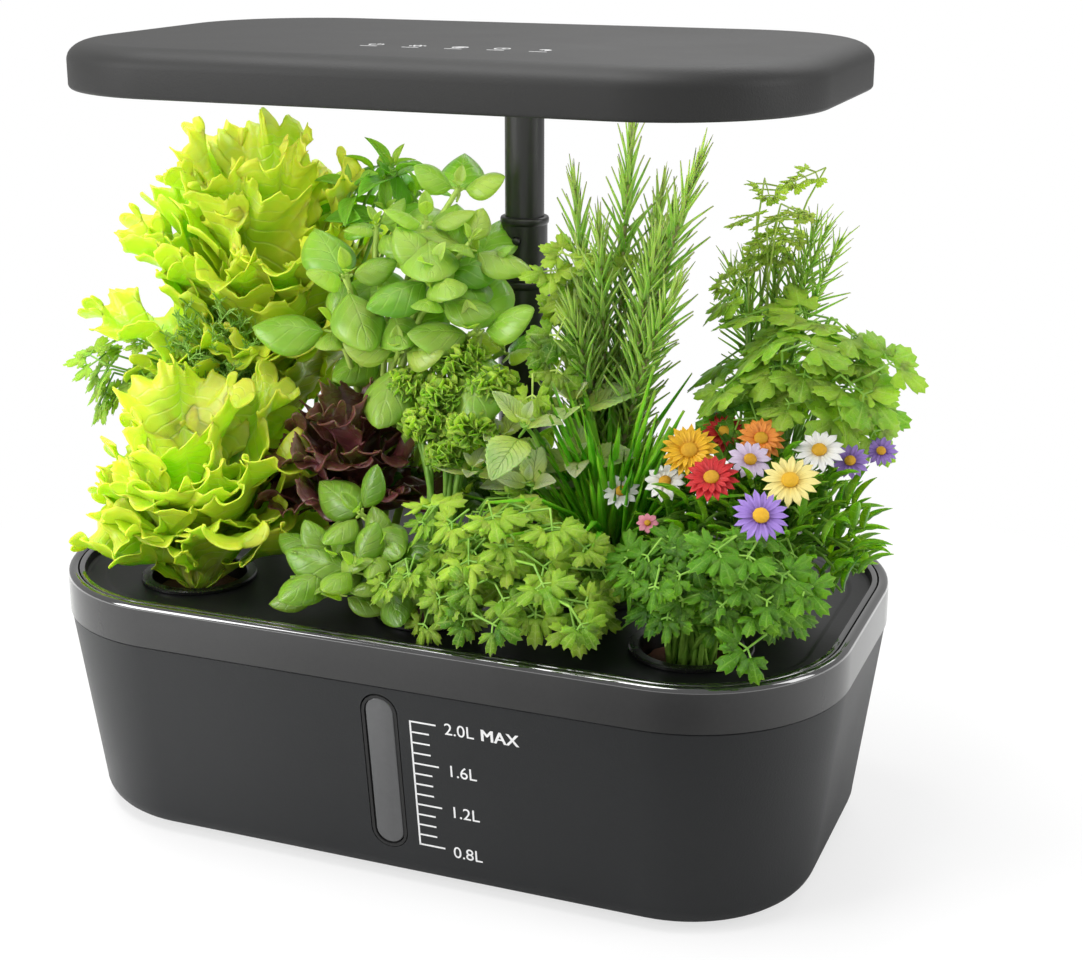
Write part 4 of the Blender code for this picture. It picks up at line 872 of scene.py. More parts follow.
parsley_radii = (0.25, 0.60, 0.56, 0.74, 0.66, 0.80, 0.64, 0.36, 0.70, 0.90, 0.82, 1.0)
parsley_radii += parsley_radii[-2::-1]
coriander_radii = (0.30, 0.62, 0.58, 0.76, 0.68, 0.80, 0.70, 0.38, 0.76, 0.90, 0.84, 1.0, 0.92)
coriander_radii += coriander_radii[-2::-1]
leaves = {name: leaf_template(name, *shape) for name, shape in {
    "basil": (8, 14, 0.012, broad_leaf(0.37, 0.44, -0.62, 0.46, 0.015, 4)),
    "basil_young": (6, 8, 0.016, broad_leaf(0.30, 0.42, 0.35, 0.10, 0.012, 3)),
    "thai": (4, 8, 0.014, broad_leaf(0.20, 0.40, 0.40, 0.50, 0.010, 4)),
    "mint": (8, 22, 0.014, broad_leaf(0.31, 0.40, 0.22, 0.36, 0.020, 6, 11, 0.10)),
    "parsley": (22, 2, 0.024, fan_leaf(parsley_radii, 3.3, 0.09, 3)),
    "coriander": (24, 2, 0.018, fan_leaf(coriander_radii, 3.7, 0.06, 3)),
    "curl": (22, 2, 0.040, fan_leaf(parsley_radii, 5.0, 0.40, 5)),
    "needle": (2, 3, 0.030, strap_leaf(0.058, 0.30, -0.7)),
    "chive": (2, 8, 0.010, strap_leaf(0.021, 0.45, 0.9)),
    "chive_bent": (2, 8, 0.010, strap_leaf(0.021, 1.1, 0.9)),
    "petal": (4, 4, 0.020, broad_leaf(0.15, 0.62, 0.25, 0.20, 0.0, 1, fullness=0.55)),
}.items()}
print("leaf shapes", {name: len(mesh.polygons) for name, mesh in leaves.items()})

# %% [markdown]
# One node group paints every blade. It reads the ruler that the UV map holds: a pale midrib down the
# middle, side veins that slant towards the tip, and a height that sinks along them. Each kind of leaf
# then mixes its own colours with the masks, and its own Principled shader gives it wax or matt hairs.

# %% Veins and tones of a blade


def blade_ruler(tree):
    """The share across a blade and the share along it."""
    split = tree.nodes.new("ShaderNodeSeparateXYZ")
    feed(tree, split.inputs[0], add(tree, "ShaderNodeUVMap", {"uv_map": "leaf"}))
    return split.outputs[0], split.outputs[1]


tree, entry, leaving = node_group(
    "leaf_blade", {"Ribs": 5.0, "Slant": 0.3, "Rib Width": 0.1, "Midrib Width": 0.07, "Blotch": 300.0},
    ("Veins", "Tone", "Height", "Along"),
)
blade_group = tree
across, along = blade_ruler(tree)
from_middle = math_node(tree, "ABSOLUTE", math_node(tree, "MULTIPLY_ADD", across, 2.0, -1.0))
slanted = math_node(tree, "MULTIPLY", from_middle, entry["Slant"])
phase = math_node(tree, "MULTIPLY", math_node(tree, "SUBTRACT", along, slanted), entry["Ribs"])
rib = remap(tree, math_node(tree, "PINGPONG", phase, 0.5), 0.0, entry["Rib Width"], 1.0, 0.0)
side_veins = math_node(tree, "MULTIPLY", rib, remap(tree, from_middle, 0.2, 1.0, 1.0, 0.25))
middle_rib = remap(tree, from_middle, 0.0, entry["Midrib Width"], 1.0, 0.0)
veins = math_node(tree, "MAXIMUM", side_veins, middle_rib)
spot = coordinates(tree)
blotches = add(tree, "ShaderNodeTexNoise", Vector=spot, Scale=entry["Blotch"], Detail=3.0)
# The tint attribute is each leaf's own tone; on lettuce and on the herb clumps it also carries painted light
# and shade.
own_tint = add(tree, "ShaderNodeAttribute", {"attribute_name": "tint"}).node.outputs["Fac"]
cells = add(tree, "ShaderNodeTexNoise", Vector=spot, Scale=2600.0, Detail=1.0)
patchy = math_node(tree, "MULTIPLY_ADD", blotches, 0.6, -0.18)
feed(tree, leaving["Veins"], veins)
feed(tree, leaving["Tone"], math_node(tree, "MULTIPLY_ADD", own_tint, 0.75, patchy))
feed(tree, leaving["Height"], math_node(tree, "SUBTRACT", math_node(tree, "MULTIPLY", cells, 0.35), veins))
feed(tree, leaving["Along"], along)
print("blade group made of", len(tree.nodes), "nodes")

# %% [markdown]
# The finishes differ in their two greens, the colour of their veins and how shiny they are. One of them is a
# darker copy of the parsley green, which paints shade into leaves that sit low among the others. Light passes
# into a leaf and comes out a little further on, so each one has some subsurface scattering, in which green
# travels furthest.

# %% Finishes of leaves and stems


def leaf_finish(name, dark, light, vein, rough, ribs, slant, rib_width, midrib, show, blotch, bump=0.5,
                base=None, **extra):
    """A leaf's material: two greens by its tone, other veins, and perhaps another colour at its base."""
    made, tree = node_tree(name)
    out = use_group(tree, blade_group, Ribs=ribs, Slant=slant, Rib_Width=rib_width, Midrib_Width=midrib,
                    Blotch=blotch)
    colour = blend_colours(tree, remap(tree, out["Tone"], 0.0, 1.0), dark, light)
    if base:
        colour = blend_colours(tree, remap(tree, out["Along"], 0.05, 0.55, 1.0, 0.0), colour, base)
    colour = blend_colours(tree, math_node(tree, "MULTIPLY", out["Veins"], show), colour, vein)
    dent = add(tree, "ShaderNodeBump", Strength=bump, Distance=0.0004, Height=out["Height"])
    extra.setdefault("Specular_IOR_Level", 0.22)
    principled(tree, Base_Color=colour, Roughness=remap(tree, out["Tone"], 0.0, 1.0, *rough), Normal=dent,
               Subsurface_Weight=0.65, Subsurface_Radius=(0.5, 1.0, 0.15), Subsurface_Scale=0.003, **extra)
    return made


def stem_finish(name, dark, light, rough=0.5):
    """A stem's material: fine streaks between two colours."""
    made, tree = node_tree(name)
    streaks = add(tree, "ShaderNodeTexNoise", Vector=coordinates(tree), Scale=260.0, Detail=3.0)
    colour = blend_colours(tree, remap(tree, streaks, 0.3, 0.7), dark, light)
    bump = add(tree, "ShaderNodeBump", Strength=0.3, Distance=0.0003, Height=streaks)
    principled(tree, Base_Color=colour, Roughness=rough, Normal=bump)
    return made


waxy = {"Coat_Weight": 0.5, "Coat_Roughness": 0.3}
basil_veins = (5.0, 0.35, 0.12, 0.06, 0.35, 90.0)
herb_veins = (4.0, 0.0, 0.10, 0.05, 0.3, 260.0)
lime = leaf_finish(
    "lime_lettuce", (0.32, 0.70, 0.008), (0.94, 1.0, 0.08), (0.78, 0.92, 0.38), (0.30, 0.42),
    12.0, 0.0, 0.12, 0.07, 0.35, 140.0, base=(0.60, 0.78, 0.12), Specular_IOR_Level=0.5)
maroon = leaf_finish(
    "red_lettuce_leaf", (0.04, 0.007, 0.008), (0.20, 0.055, 0.055), (0.20, 0.07, 0.07), (0.20, 0.34),
    10.0, 0.0, 0.12, 0.07, 0.3, 160.0, 0.6, (0.42, 0.42, 0.04), **waxy)
basil_green = leaf_finish(
    "basil_green", (0.05, 0.25, 0.003), (0.54, 0.92, 0.11), (0.50, 0.84, 0.20), (0.26, 0.38),
    *basil_veins, **waxy)
basil_deep = leaf_finish(
    "basil_deep", (0.025, 0.13, 0.002), (0.36, 0.68, 0.06), (0.36, 0.64, 0.14), (0.26, 0.38),
    *basil_veins, **waxy)
thai_green = leaf_finish(
    "thai_green", (0.05, 0.23, 0.008), (0.30, 0.64, 0.05), (0.30, 0.55, 0.10), (0.34, 0.46),
    6.0, 0.35, 0.12, 0.08, 0.35, 160.0)
mint_green = leaf_finish(
    "mint_green", (0.13, 0.34, 0.05), (0.76, 0.96, 0.40), (0.15, 0.36, 0.06), (0.42, 0.55),
    8.0, 0.40, 0.14, 0.05, 0.5, 220.0, 0.8, (0.50, 0.76, 0.10))
parsley_green = leaf_finish(
    "parsley_green", (0.025, 0.13, 0.002), (0.43, 0.80, 0.05), (0.55, 0.80, 0.22), (0.40, 0.52), *herb_veins)
# Painted shade: the parsley green at about half its value, for leaves that sit in shade: the right clump of
# parsley, the low leaves under the mint and the leaves among the daisies.
painted_shade_green = leaf_finish(
    "painted_shade_green", (0.012, 0.065, 0.002), (0.11, 0.33, 0.012), (0.32, 0.60, 0.10), (0.40, 0.52), *herb_veins)
curl_green = leaf_finish(
    "curl_green", (0.04, 0.19, 0.003), (0.52, 0.88, 0.08), (0.44, 0.72, 0.12), (0.42, 0.55),
    4.0, 0.0, 0.10, 0.05, 0.2, 300.0)
coriander_green = leaf_finish(
    "coriander_green", (0.035, 0.19, 0.003), (0.44, 0.84, 0.06), (0.46, 0.76, 0.18), (0.40, 0.52),
    5.0, 0.0, 0.10, 0.05, 0.35, 260.0)
needle_green = leaf_finish(
    "needle_green", (0.10, 0.27, 0.03), (0.42, 0.66, 0.13), (0.66, 0.80, 0.36), (0.42, 0.56),
    1.0, 0.0, 0.01, 0.36, 0.5, 300.0, 0.3)
chive_green = leaf_finish(
    "chive_green", (0.06, 0.32, 0.006), (0.28, 0.68, 0.03), (0.30, 0.60, 0.08), (0.32, 0.44),
    1.0, 0.0, 0.01, 0.25, 0.3, 300.0, 0.3)
stem_lime = stem_finish("lime_stem", (0.36, 0.54, 0.06), (0.56, 0.72, 0.16))
stem_green = stem_finish("green_stem", (0.16, 0.38, 0.03), (0.30, 0.54, 0.07))
stem_brown = stem_finish("brown_stem", (0.26, 0.24, 0.10), (0.48, 0.46, 0.22), 0.7)
stem_dill = stem_finish("dill_thread", (0.14, 0.34, 0.03), (0.40, 0.62, 0.14))
print("finishes made:", len(bpy.data.materials))

# %% [markdown]
# Growing is done by a small helper for each habit. A plant keeps its leaves sorted by finish, its stems as
# strands of points, and its own seeded random numbers, so it grows the same way on every run.

# %% Growing


def mm(*spot):
    """A place given in millimetres."""
    return Vector(spot) / 1000


def upwards(height):
    """A step straight up."""
    return Vector((0.0, 0.0, height))


def aim(turn, climb=0.0):
    """The direction with a bearing and a climb."""
    return Vector((math.cos(turn) * math.cos(climb), math.sin(turn) * math.cos(climb), math.sin(climb)))


def on_arch(start, bend, finish, share):
    """A point on a stem that sets out towards its bend and comes to its finish from there."""
    return start * (1 - share) ** 2 + bend * 2 * share * (1 - share) + finish * share**2


def finish_piece(name, mesh, material, node):
    """A smooth-shaded piece that rides on the deck and stands for a CAD node."""
    mesh.name = name
    mesh.shade_smooth()
    mesh.materials.append(material)
    made = put(name, mesh)
    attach(made, "deck")
    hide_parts(node)


class Plant:
    """What grows in one place: leaves by finish, strands of stem, and its own random numbers."""

    def __init__(self, node, seed):
        self.node = node
        self.leaves = {}
        self.strands = []
        self.luck = random.Random(seed)

    def near(self, value, spread):
        """A number near a value."""
        return value + self.luck.uniform(-spread, spread)

    def drift(self, *parts):
        """A vector, each part of it near a value."""
        return Vector([self.near(value, spread) for value, spread in parts])

    def beside(self, foot, spread):
        """A place beside another at the same height."""
        return foot + Vector((self.near(0.0, spread), self.near(0.0, spread), 0.0))

    def leaf(self, material, template, place, ahead, up, size, breadth=1.0, tint=None):
        """Add one leaf: it starts at a place, points ahead and turns its face up."""
        ahead = ahead.normalized()
        across = ahead.cross(up)
        if across.length < 0.001:
            across = ahead.orthogonal()
        across.normalize()
        normal = across.cross(ahead)
        turn = Matrix((across * size * breadth, ahead * size, normal * size)).transposed().to_4x4()
        copied = leaves[template].copy()
        copied.transform(Matrix.Translation(place) @ turn)
        if tint is None:
            value = self.luck.random()
        else:
            value = min(max(tint + self.luck.uniform(-0.15, 0.15), 0.0), 1.0)
        copied.attributes["tint"].data.foreach_set("value", [value] * len(copied.vertices))
        if material not in self.leaves:
            self.leaves[material] = bmesh.new()
        self.leaves[material].from_mesh(copied)
        bpy.data.meshes.remove(copied)

    def strand(self, points, thick, thin):
        """Add one stem through some points, from a thick radius to a thin one."""
        last = len(points) - 1
        self.strands.append([(point, thick + (thin - thick) * i / last) for i, point in enumerate(points)])

    def stalk(self, start, finish, thick, thin, steps=7):
        """Add a stem that first rises and then leans over to its end."""
        reach = finish - start
        bend = start + Vector((reach.x * 0.28, reach.y * 0.28, reach.z * 0.55 + reach.length * 0.22))
        self.strand([on_arch(start, bend, finish, step / steps) for step in range(steps + 1)], thick, thin)

    def ready(self, stem_material):
        """Turn the leaves and the stems into pieces that stand for the plant's CAD node."""
        for material, bm in self.leaves.items():
            finish_piece(f"{self.node}_{material.name}", mesh_of(bm, self.node), material, self.node)
        if self.strands:
            curve = bpy.data.curves.new(self.node, "CURVE")
            curve.dimensions = "3D"
            curve.bevel_depth = 1.0
            curve.bevel_resolution = 1
            curve.use_fill_caps = True
            for strand in self.strands:
                spline = curve.splines.new("POLY")
                spline.points.add(len(strand) - 1)
                for knot, (point, radius) in zip(spline.points, strand):
                    knot.co = (*point, 1.0)
                    knot.radius = radius
            holder = bpy.data.objects.new("strands", curve)
            mesh = bpy.data.meshes.new_from_object(holder)
            bpy.data.objects.remove(holder)
            mesh.materials.clear()
            finish_piece(f"{self.node}_stems", mesh, stem_material, self.node)


def crown(middle, radii, count, low=-0.3, high=0.98, turn=0.0):
    """Places spread evenly over an egg, and the outward direction at each."""
    for number in range(count):
        rise = high + (low - high) * (number + 0.5) / count
        flat = math.sqrt(max(1 - rise * rise, 0.0))
        angle = number * golden_turn + turn
        out = Vector((math.cos(angle) * flat, math.sin(angle) * flat, rise))
        yield Vector(middle) + Vector((out.x * radii[0], out.y * radii[1], out.z * radii[2])), out


def root(pod, right=0.0, back=0.0):
    """A place on the grow medium of a pod, moved by shares of its radius."""
    spot = pods[pod - 1]
    return Vector((spot.x + right * pod_radius * 0.7, spot.y + back * pod_radius * 0.7, sponge_top - 0.001))


print("leaves to grow with:", len(leaves))

# %% [markdown]
# A lettuce leaf is a sheet that grew more at its margin than in its middle, so the margin has nowhere to go
# but in waves. Each leaf is a fan of lines from a curling rib to its margin, so the points lie closest where
# the folds, the ruffles and the teeth are.

# %% A leaf of lettuce
lettuce_rows = 8
lettuce_columns = 190
usual_length = 0.046
rib_steps = 24
fold_count = 4.4
frill_count = 15.0
tooth_count = 28.0
leaf_skin = 0.0004


def curling_rib(base, outward, leans, length):
    """Points along a rib that leans out more and more, and the way that its upper face looks at each."""
    rib, faces_up = [base], []
    for step in range(rib_steps + 1):
        lean = leans[0] + (leans[1] - leans[0]) * (step / rib_steps) ** 1.5
        faces_up.append(upwards(math.sin(lean)) - outward * math.cos(lean))
        rib.append(rib[-1] + (outward * math.sin(lean) + upwards(math.cos(lean))) * length / rib_steps)
    return rib, faces_up


def margin_place(aside):
    """Where a line that fans out from the rib ends, as shares of the half width and of the length."""
    if aside < 0.5:
        return math.sin(math.pi * aside), 0.64 + 0.36 * math.cos(math.pi * aside)
    narrowing = min((aside - 0.5) / 0.42, 1.0)
    return 1 - 0.80 * narrowing * narrowing * (3 - 2 * narrowing), 1.28 * (1 - aside)


def lettuce_leaf(bm, base, turn, leans, length, width, ruffle, seed, tint):
    """One leaf: lines fan out from its rib to a margin that folds, ruffles and has fine teeth."""
    fresh = bmesh.new()
    finer = (length / usual_length) ** 0.8
    ruler = fresh.loops.layers.uv.new("leaf")
    shade = fresh.verts.layers.float.new("tint")
    bmesh.ops.create_grid(fresh, x_segments=int(lettuce_columns * finer), y_segments=lettuce_rows, size=0.5)
    across = aim(turn + math.pi / 2)
    rib, faces_up = curling_rib(base, aim(turn), leans, length)

    def wander(place, scale, shift):
        return noise.noise(Vector((place * scale, seed + shift, shift)))

    rulers = {}
    for vert in fresh.verts:
        around, out = 2 * vert.co.x, 1 - (0.5 - vert.co.y) ** 1.4
        aside = abs(around)
        wide, high = margin_place(aside)
        origin = 0.84 * (1 - aside)
        calm = min(max((1 - aside) / 0.40, 0.0), 1.0)
        edge = out**2.4 * calm
        fold = math.pi * fold_count * finer * around + 3.0 * wander(around, 1.6, 1.0)
        frill = math.pi * frill_count * finer * around + 4.0 * wander(around, 3.0, 5.0)
        teeth = 1 - abs(math.sin(math.pi * tooth_count * finer * around + 5.0 * wander(around, 6.0, 21.0)))
        lobes = 1 + edge * (0.16 * wander(around, 5.0, 13.0) + 0.05 * wander(around, 17.0 * finer, 17.0))
        lobes += out**8 * calm * 0.050 * teeth
        side = math.copysign(out * wide, around) * lobes
        reached = origin + (high - origin) * out * lobes
        row = min(max(reached, 0.0) * rib_steps, rib_steps - 0.001)
        low, part = int(row), row - int(row)
        spot = rib[low].lerp(rib[low + 1], part)
        ahead = (rib[low + 1] - rib[low]).normalized()
        up = faces_up[low].lerp(faces_up[low + 1], part)
        big = math.sin(fold) * (1 + 0.5 * wander(around, 3.0, 9.0))
        small = math.sin(frill) * (0.6 + 0.9 * wander(around, 9.0, 11.0)) * out**4
        swell = noise.noise(Vector((side * 1.5, reached * 2.4, seed))) * calm
        pucker = noise.noise(Vector((side * 5.0, reached * 8.0, seed + 3.0))) * calm
        lift = ruffle * (big * edge + 0.42 * small * calm) + width * (0.12 * swell + 0.030 * pucker)
        lift += 0.16 * width * side * side * calm - 0.0010 * math.exp(-((side * 6.0) ** 2)) * (1 - reached)
        slip = ruffle * (0.60 * math.cos(fold) * edge + 0.25 * math.cos(frill) * out**6 * calm)
        vert.co = spot + across * (side * width / 2 + slip) + up * lift
        vert.co += ahead * ruffle * 0.45 * math.cos(frill) * out**4 * calm
        # The tint: the leaf's own paler margin, and painted light and shade, lighter on the swells and the
        # crests of the big folds, darker in their troughs.
        vert[shade] = min(max(tint + 0.40 * edge - 0.28 + 0.35 * swell + 0.10 * big * edge, 0.0), 1.0)
        rulers[vert] = (0.5 + math.copysign(0.5 * out, around), origin + 0.45 * out)
    for face in fresh.faces:
        for loop in face.loops:
            loop[ruler].uv = rulers[loop.vert]
    bmesh.ops.remove_doubles(fresh, verts=fresh.verts, dist=0.00003)
    thicken(fresh, leaf_skin)
    mesh = mesh_of(fresh, "lettuce_leaf")
    bm.from_mesh(mesh)
    bpy.data.meshes.remove(mesh)


# %% [markdown]
# The heads are written down leaf by leaf, as the photograph shows them: the bearing of the leaf from the
# right of the picture, how it leans at its foot and at its tip, its length and width, and how far up the
# heart it starts. Degrees and millimetres are the easiest to read off.

# %% Heads of lettuce
bearing_spread = 5.0
heart_width = 0.0030


def lettuce(node, material, seed, low, high, table, ruffle, scale=1.0):
    """A head of lettuce round a heart, from a table of its leaves."""
    plant = Plant(node, seed)
    plant.leaves[material] = bmesh.new()
    for number, (bearing, first, last, length, width, share) in enumerate(table):
        turn = math.radians(plant.near(bearing, bearing_spread)) + camera_turn
        base = low.lerp(high, share) + aim(turn) * heart_width * (1 - share)
        leans = (math.radians(plant.near(first, 3.0)), math.radians(plant.near(last, 4.0)))
        lettuce_leaf(plant.leaves[material], base, turn, leans, length * scale / 1000, width * scale / 1000,
                     ruffle, number * 3.7 + seed * 11.0, plant.near(0.42 + 0.2 * share, 0.10))
    plant.strand([low - upwards(0.004), low.lerp(high, 0.5), high], 0.0036, 0.0026)
    plant.ready(stem_lime)


front_head = (
    (190, 46, 100, 39, 34, 0.0), (163, 34, 66, 42, 42, 0.0), (228, 28, 92, 36, 34, 0.0),
    (268, 12, 96, 36, 42, 0.0), (314, 30, 80, 42, 40, 0.0), (352, 48, 90, 48, 34, 0.0),
    (18, 40, 60, 60, 42, 0.1), (60, 34, 48, 64, 42, 0.1), (102, 28, 44, 64, 42, 0.1),
    (138, 32, 54, 52, 42, 0.1), (204, 26, 62, 44, 40, 0.3), (250, 14, 66, 42, 42, 0.3),
    (300, 12, 60, 44, 42, 0.3), (344, 26, 56, 56, 40, 0.3), (40, 22, 36, 66, 40, 0.5),
    (112, 14, 30, 64, 40, 0.5), (170, 14, 40, 48, 34, 0.7), (276, 8, 44, 40, 30, 0.9),
    (10, 10, 30, 54, 32, 0.9),
)
back_head = (
    (184, 40, 62, 84, 48, 0.0), (204, 44, 84, 60, 42, 0.1), (166, 24, 44, 94, 48, 0.1),
    (232, 28, 80, 54, 44, 0.2), (148, 18, 34, 98, 48, 0.2), (262, 16, 74, 54, 46, 0.2),
    (294, 20, 72, 54, 46, 0.2), (324, 28, 66, 54, 42, 0.2), (2, 30, 54, 60, 42, 0.3),
    (30, 24, 40, 78, 42, 0.3), (60, 20, 32, 88, 42, 0.4), (96, 16, 28, 90, 44, 0.4),
    (128, 16, 34, 90, 46, 0.4), (178, 26, 46, 76, 44, 0.4), (216, 22, 58, 64, 44, 0.5),
    (252, 14, 54, 64, 44, 0.5), (290, 12, 48, 66, 44, 0.5), (334, 18, 42, 68, 42, 0.5),
    (14, 16, 28, 82, 42, 0.7), (76, 10, 20, 88, 42, 0.8), (150, 12, 24, 88, 44, 0.8),
    (196, 14, 34, 78, 42, 0.8), (248, 8, 34, 74, 40, 0.9), (310, 6, 26, 76, 40, 0.9),
)
red_head = (
    (196, 60, 100, 26, 24, 0.0), (232, 50, 100, 26, 24, 0.0), (268, 42, 105, 26, 24, 0.0),
    (304, 46, 100, 28, 24, 0.0), (340, 56, 100, 30, 24, 0.0), (16, 56, 92, 28, 24, 0.0),
    (56, 46, 76, 28, 24, 0.0), (100, 40, 66, 28, 24, 0.0), (148, 46, 76, 28, 24, 0.0),
    (212, 34, 76, 28, 24, 0.4), (252, 28, 76, 27, 24, 0.4), (290, 28, 74, 27, 24, 0.4),
    (330, 34, 70, 28, 24, 0.4), (20, 30, 56, 30, 22, 0.4), (72, 24, 44, 30, 22, 0.5),
    (124, 24, 48, 30, 22, 0.5), (176, 26, 56, 28, 22, 0.5), (236, 14, 46, 26, 18, 0.9),
    (306, 14, 42, 26, 18, 0.9), (30, 12, 34, 28, 18, 1.0), (120, 10, 30, 28, 18, 1.0),
)
lettuce("lettuce_front_left", lime, 1, root(1) + upwards(0.002), mm(-85, -34, 92), front_head, 0.0046)
for part in (0, 1):
    lettuce("lettuce_back_left", lime, 2 + part, mm(-88, 34, 100), mm(-93, 32, 138), back_head[part::2],
            0.0052)
lettuce("red_lettuce", maroon, 4, mm(-40, -12, 96), mm(-37, -16, 113), red_head, 0.0034, 1.06)
for node, radius, *points in (
    ("lettuce_back_left", 0.0040, root(6), mm(-86, 36, 90), mm(-88, 34, 102)),
    ("red_lettuce", 0.0034, root(4, 0.0, -0.3), mm(-41, -4, 84), mm(-40, -10, 96)),
):
    trunk = Plant(node, 5)
    trunk.strand(points, radius, radius)
    trunk.ready(stem_lime)
print("leaves of lettuce", len(front_head) + len(back_head) + len(red_head))

# %% [markdown]
# Basil, thai basil and mint grow in pairs of leaves, each pair across the last. A shoot's tip is therefore a
# small rosette, and a bush is a dozen such shoots that rise from one root and lean out to a crown.

# %% Rosettes and bushes


def rosette(plant, material, kinds, place, ahead, size, pairs=3, flat=8.0, steep=60.0, breadth=1.0):
    """Pairs of leaves round a shoot's tip, each pair across the last, smaller and steeper. The two kinds are
    the template of its leaves and that of the youngest pair."""
    stand = ahead.to_track_quat("Z", "Y")
    first = plant.luck.uniform(0.0, math.pi)
    for pair in range(pairs):
        share = pair / max(pairs - 1, 1)
        length = size * (1 - 0.66 * share) * plant.near(1.0, 0.10)
        base = place + ahead * size * (0.10 * pair - 0.16)
        for side in (0, 1):
            turn = first + pair * math.pi / 2 + side * math.pi + plant.near(0.0, 0.2)
            climb = math.radians(plant.near(flat + (steep - flat) * share, 8.0))
            out = stand @ aim(turn, climb)
            start = base + out * length * 0.16
            plant.strand([base, base + out * length * 0.10, start], size * 0.030, size * 0.018)
            tint = plant.near(0.35 + 0.35 * share, 0.2)
            plant.leaf(material, kinds[share > 0.6], start, out, ahead, length, breadth, tint)


def bush(node, material, kinds, seed, foot, spots, stem, breadth=1.0, thick=0.0013, flat=8.0):
    """A bush whose rosettes stand at given places: x, y, z and the length of the leaves, in millimetres."""
    plant = Plant(node, seed)
    for *spot, size in spots:
        place = mm(*spot)
        plant.stalk(plant.beside(foot, 0.003), place, thick, thick * 0.6)
        ahead = plant.drift((0.10, 0.25), (-0.45, 0.25), (0.80, 0.15)).normalized()
        rosette(plant, material, kinds, place, ahead, size / 1000, flat=flat, breadth=breadth)
    plant.ready(stem)


basil_kinds = ("basil", "basil_young")
basil_spots = (
    (-42, -4, 175, 24), (-40, 14, 188, 16), (-15, 24, 200, 20), (-21, 12, 191, 22), (-13, 0, 178, 23),
    (-6, 12, 185, 17), (-11, -4, 171, 18), (2, -2, 160, 27), (-22, -8, 153, 22), (-47, -4, 158, 21),
    (-30, 2, 166, 19), (-30, 18, 172, 21), (-8, 20, 178, 21), (5, 14, 150, 18), (-36, 10, 150, 18),
)
bush("basil_back", basil_green, basil_kinds, 11, root(4, 0.2, 0.5), basil_spots, stem_lime, 1.08, 0.0015)

thai_basil = Plant("thai_basil", 12)
thai_size = 0.019
for number, (place, out) in enumerate(crown(mm(-55, 47, 188), (0.016, 0.010, 0.016), 9, -0.6, 0.96, 12)):
    start = thai_basil.beside(root(6, 0.5, 0.4), 0.004)
    thai_basil.stalk(start, place, 0.0009, 0.0009 * 0.6)
    ahead = (out + upwards(0.9)).normalized()
    size = thai_size * thai_basil.near(1.0, 0.18)
    rosette(thai_basil, thai_green, ("thai", "thai"), place, ahead, size, steep=62.0)
    if number % 2:
        joint = start.lerp(place, 0.62) + upwards(0.008)
        rosette(thai_basil, thai_green, ("thai", "thai"), joint, ahead, thai_size * 0.62, 1, 12.0, 12.0)
thai_basil.ready(stem_green)

front_spots = (
    (-22, -56, 99, 20), (-30, -50, 100, 15), (-13, -60, 99, 19), (-8, -52, 103, 18), (-4, -59, 96, 15),
    (-18, -46, 111, 21), (-17, -62, 92, 14), (-26, -57, 92, 15),
)
bush("basil_front", basil_deep, basil_kinds, 13, root(2, -0.6, -0.2), front_spots, stem_lime, 0.95,
     0.0011, 14.0)
mint_spots = (
    (27, -24, 138, 19), (38, -10, 142, 20), (31, -29, 121, 15), (16, -14, 130, 15), (42, -16, 127, 16),
    (24, -16, 118, 14), (10, -24, 122, 13),
)
bush("mint", mint_green, ("mint", "mint"), 14, root(5, -0.5, -0.3), mint_spots, stem_green, 1.1, 0.0010)
print("basil and mint grown")

# %% [markdown]
# Parsley and coriander carry compound leaves: one stalk, and at its end three or five small lobed fans. A
# clump of them is an egg of such leaves, with some more at places read from the photograph.

# %% Compound leaves
root_spread = 0.006


def compound_leaf(plant, material, template, place, ahead, up, size, pairs, tint, thin=0.0003):
    """A leaf of several fans: one at the tip and pairs on short stalks behind it. Gives its lowest joint."""
    ahead = ahead.normalized()
    across = ahead.cross(up).normalized()
    plant.leaf(material, template, place, ahead, up, size, 1.0, tint)
    for pair in range(pairs):
        joint = place - ahead * size * (0.16 + 0.75 * pair)
        for side in (-1, 1):
            out = (ahead * 0.40 + across * side + up * plant.near(0.05, 0.25)).normalized()
            end = joint + out * size * (0.30 + 0.20 * pair)
            plant.strand([joint, joint.lerp(end, 0.5), end], thin, thin)
            plant.leaf(material, template, end, out, up, size * plant.near(0.88, 0.08), 1.0, tint)
    return place - ahead * size * (0.16 + 0.75 * pairs)


def herb(node, material, template, seed, foot, places, size, stem, pairs=1, thick=0.0008):
    """A clump of stalks from one root to given places, each with a compound leaf that looks outwards."""
    plant = Plant(node, seed)
    for place, out in places:
        place = place + plant.drift(*[(0.0, size * 0.45)] * 3)
        up = (out * 0.6 + plant.drift((0.08, 0.35), (-0.35, 0.30), (0.60, 0.25))).normalized()
        level = Vector((out.x, out.y, 0.0)) + plant.drift((0.0, 0.7), (-0.1, 0.7), (-0.05, 0.35))
        # Painted light and shade: leaves high on the clump get a lighter tint, the lower ones a darker one.
        tint = plant.near(0.30 + 0.45 * max(out.z, 0.0), 0.25)
        join = compound_leaf(plant, material, template, place, level - up * level.dot(up), up,
                             size * plant.near(1.0, 0.2), pairs, tint)
        plant.stalk(plant.beside(foot, root_spread), join, thick, thick * 0.45)
        plant.strand([join, place], thick * 0.45, thick * 0.35)
    plant.ready(stem)


def shells(middle, radii, counts):
    """Places on one egg inside another, from the outermost in."""
    for number, count in enumerate(counts):
        share = 1 - 0.28 * number
        yield from crown(middle, [radius * share for radius in radii], count, -0.35, 0.97, number)


def around(middle, spots):
    """Given places in millimetres, each with its direction away from the middle of the clump."""
    for spot in spots:
        yield mm(*spot), (mm(*spot) - middle).normalized()


# %% [markdown]
# Each clump has its own leaflet, its own size of it and its own places. Where the photograph shows single
# leaves that hang over the rim or stand clear of the clump, they are in the list of places too.

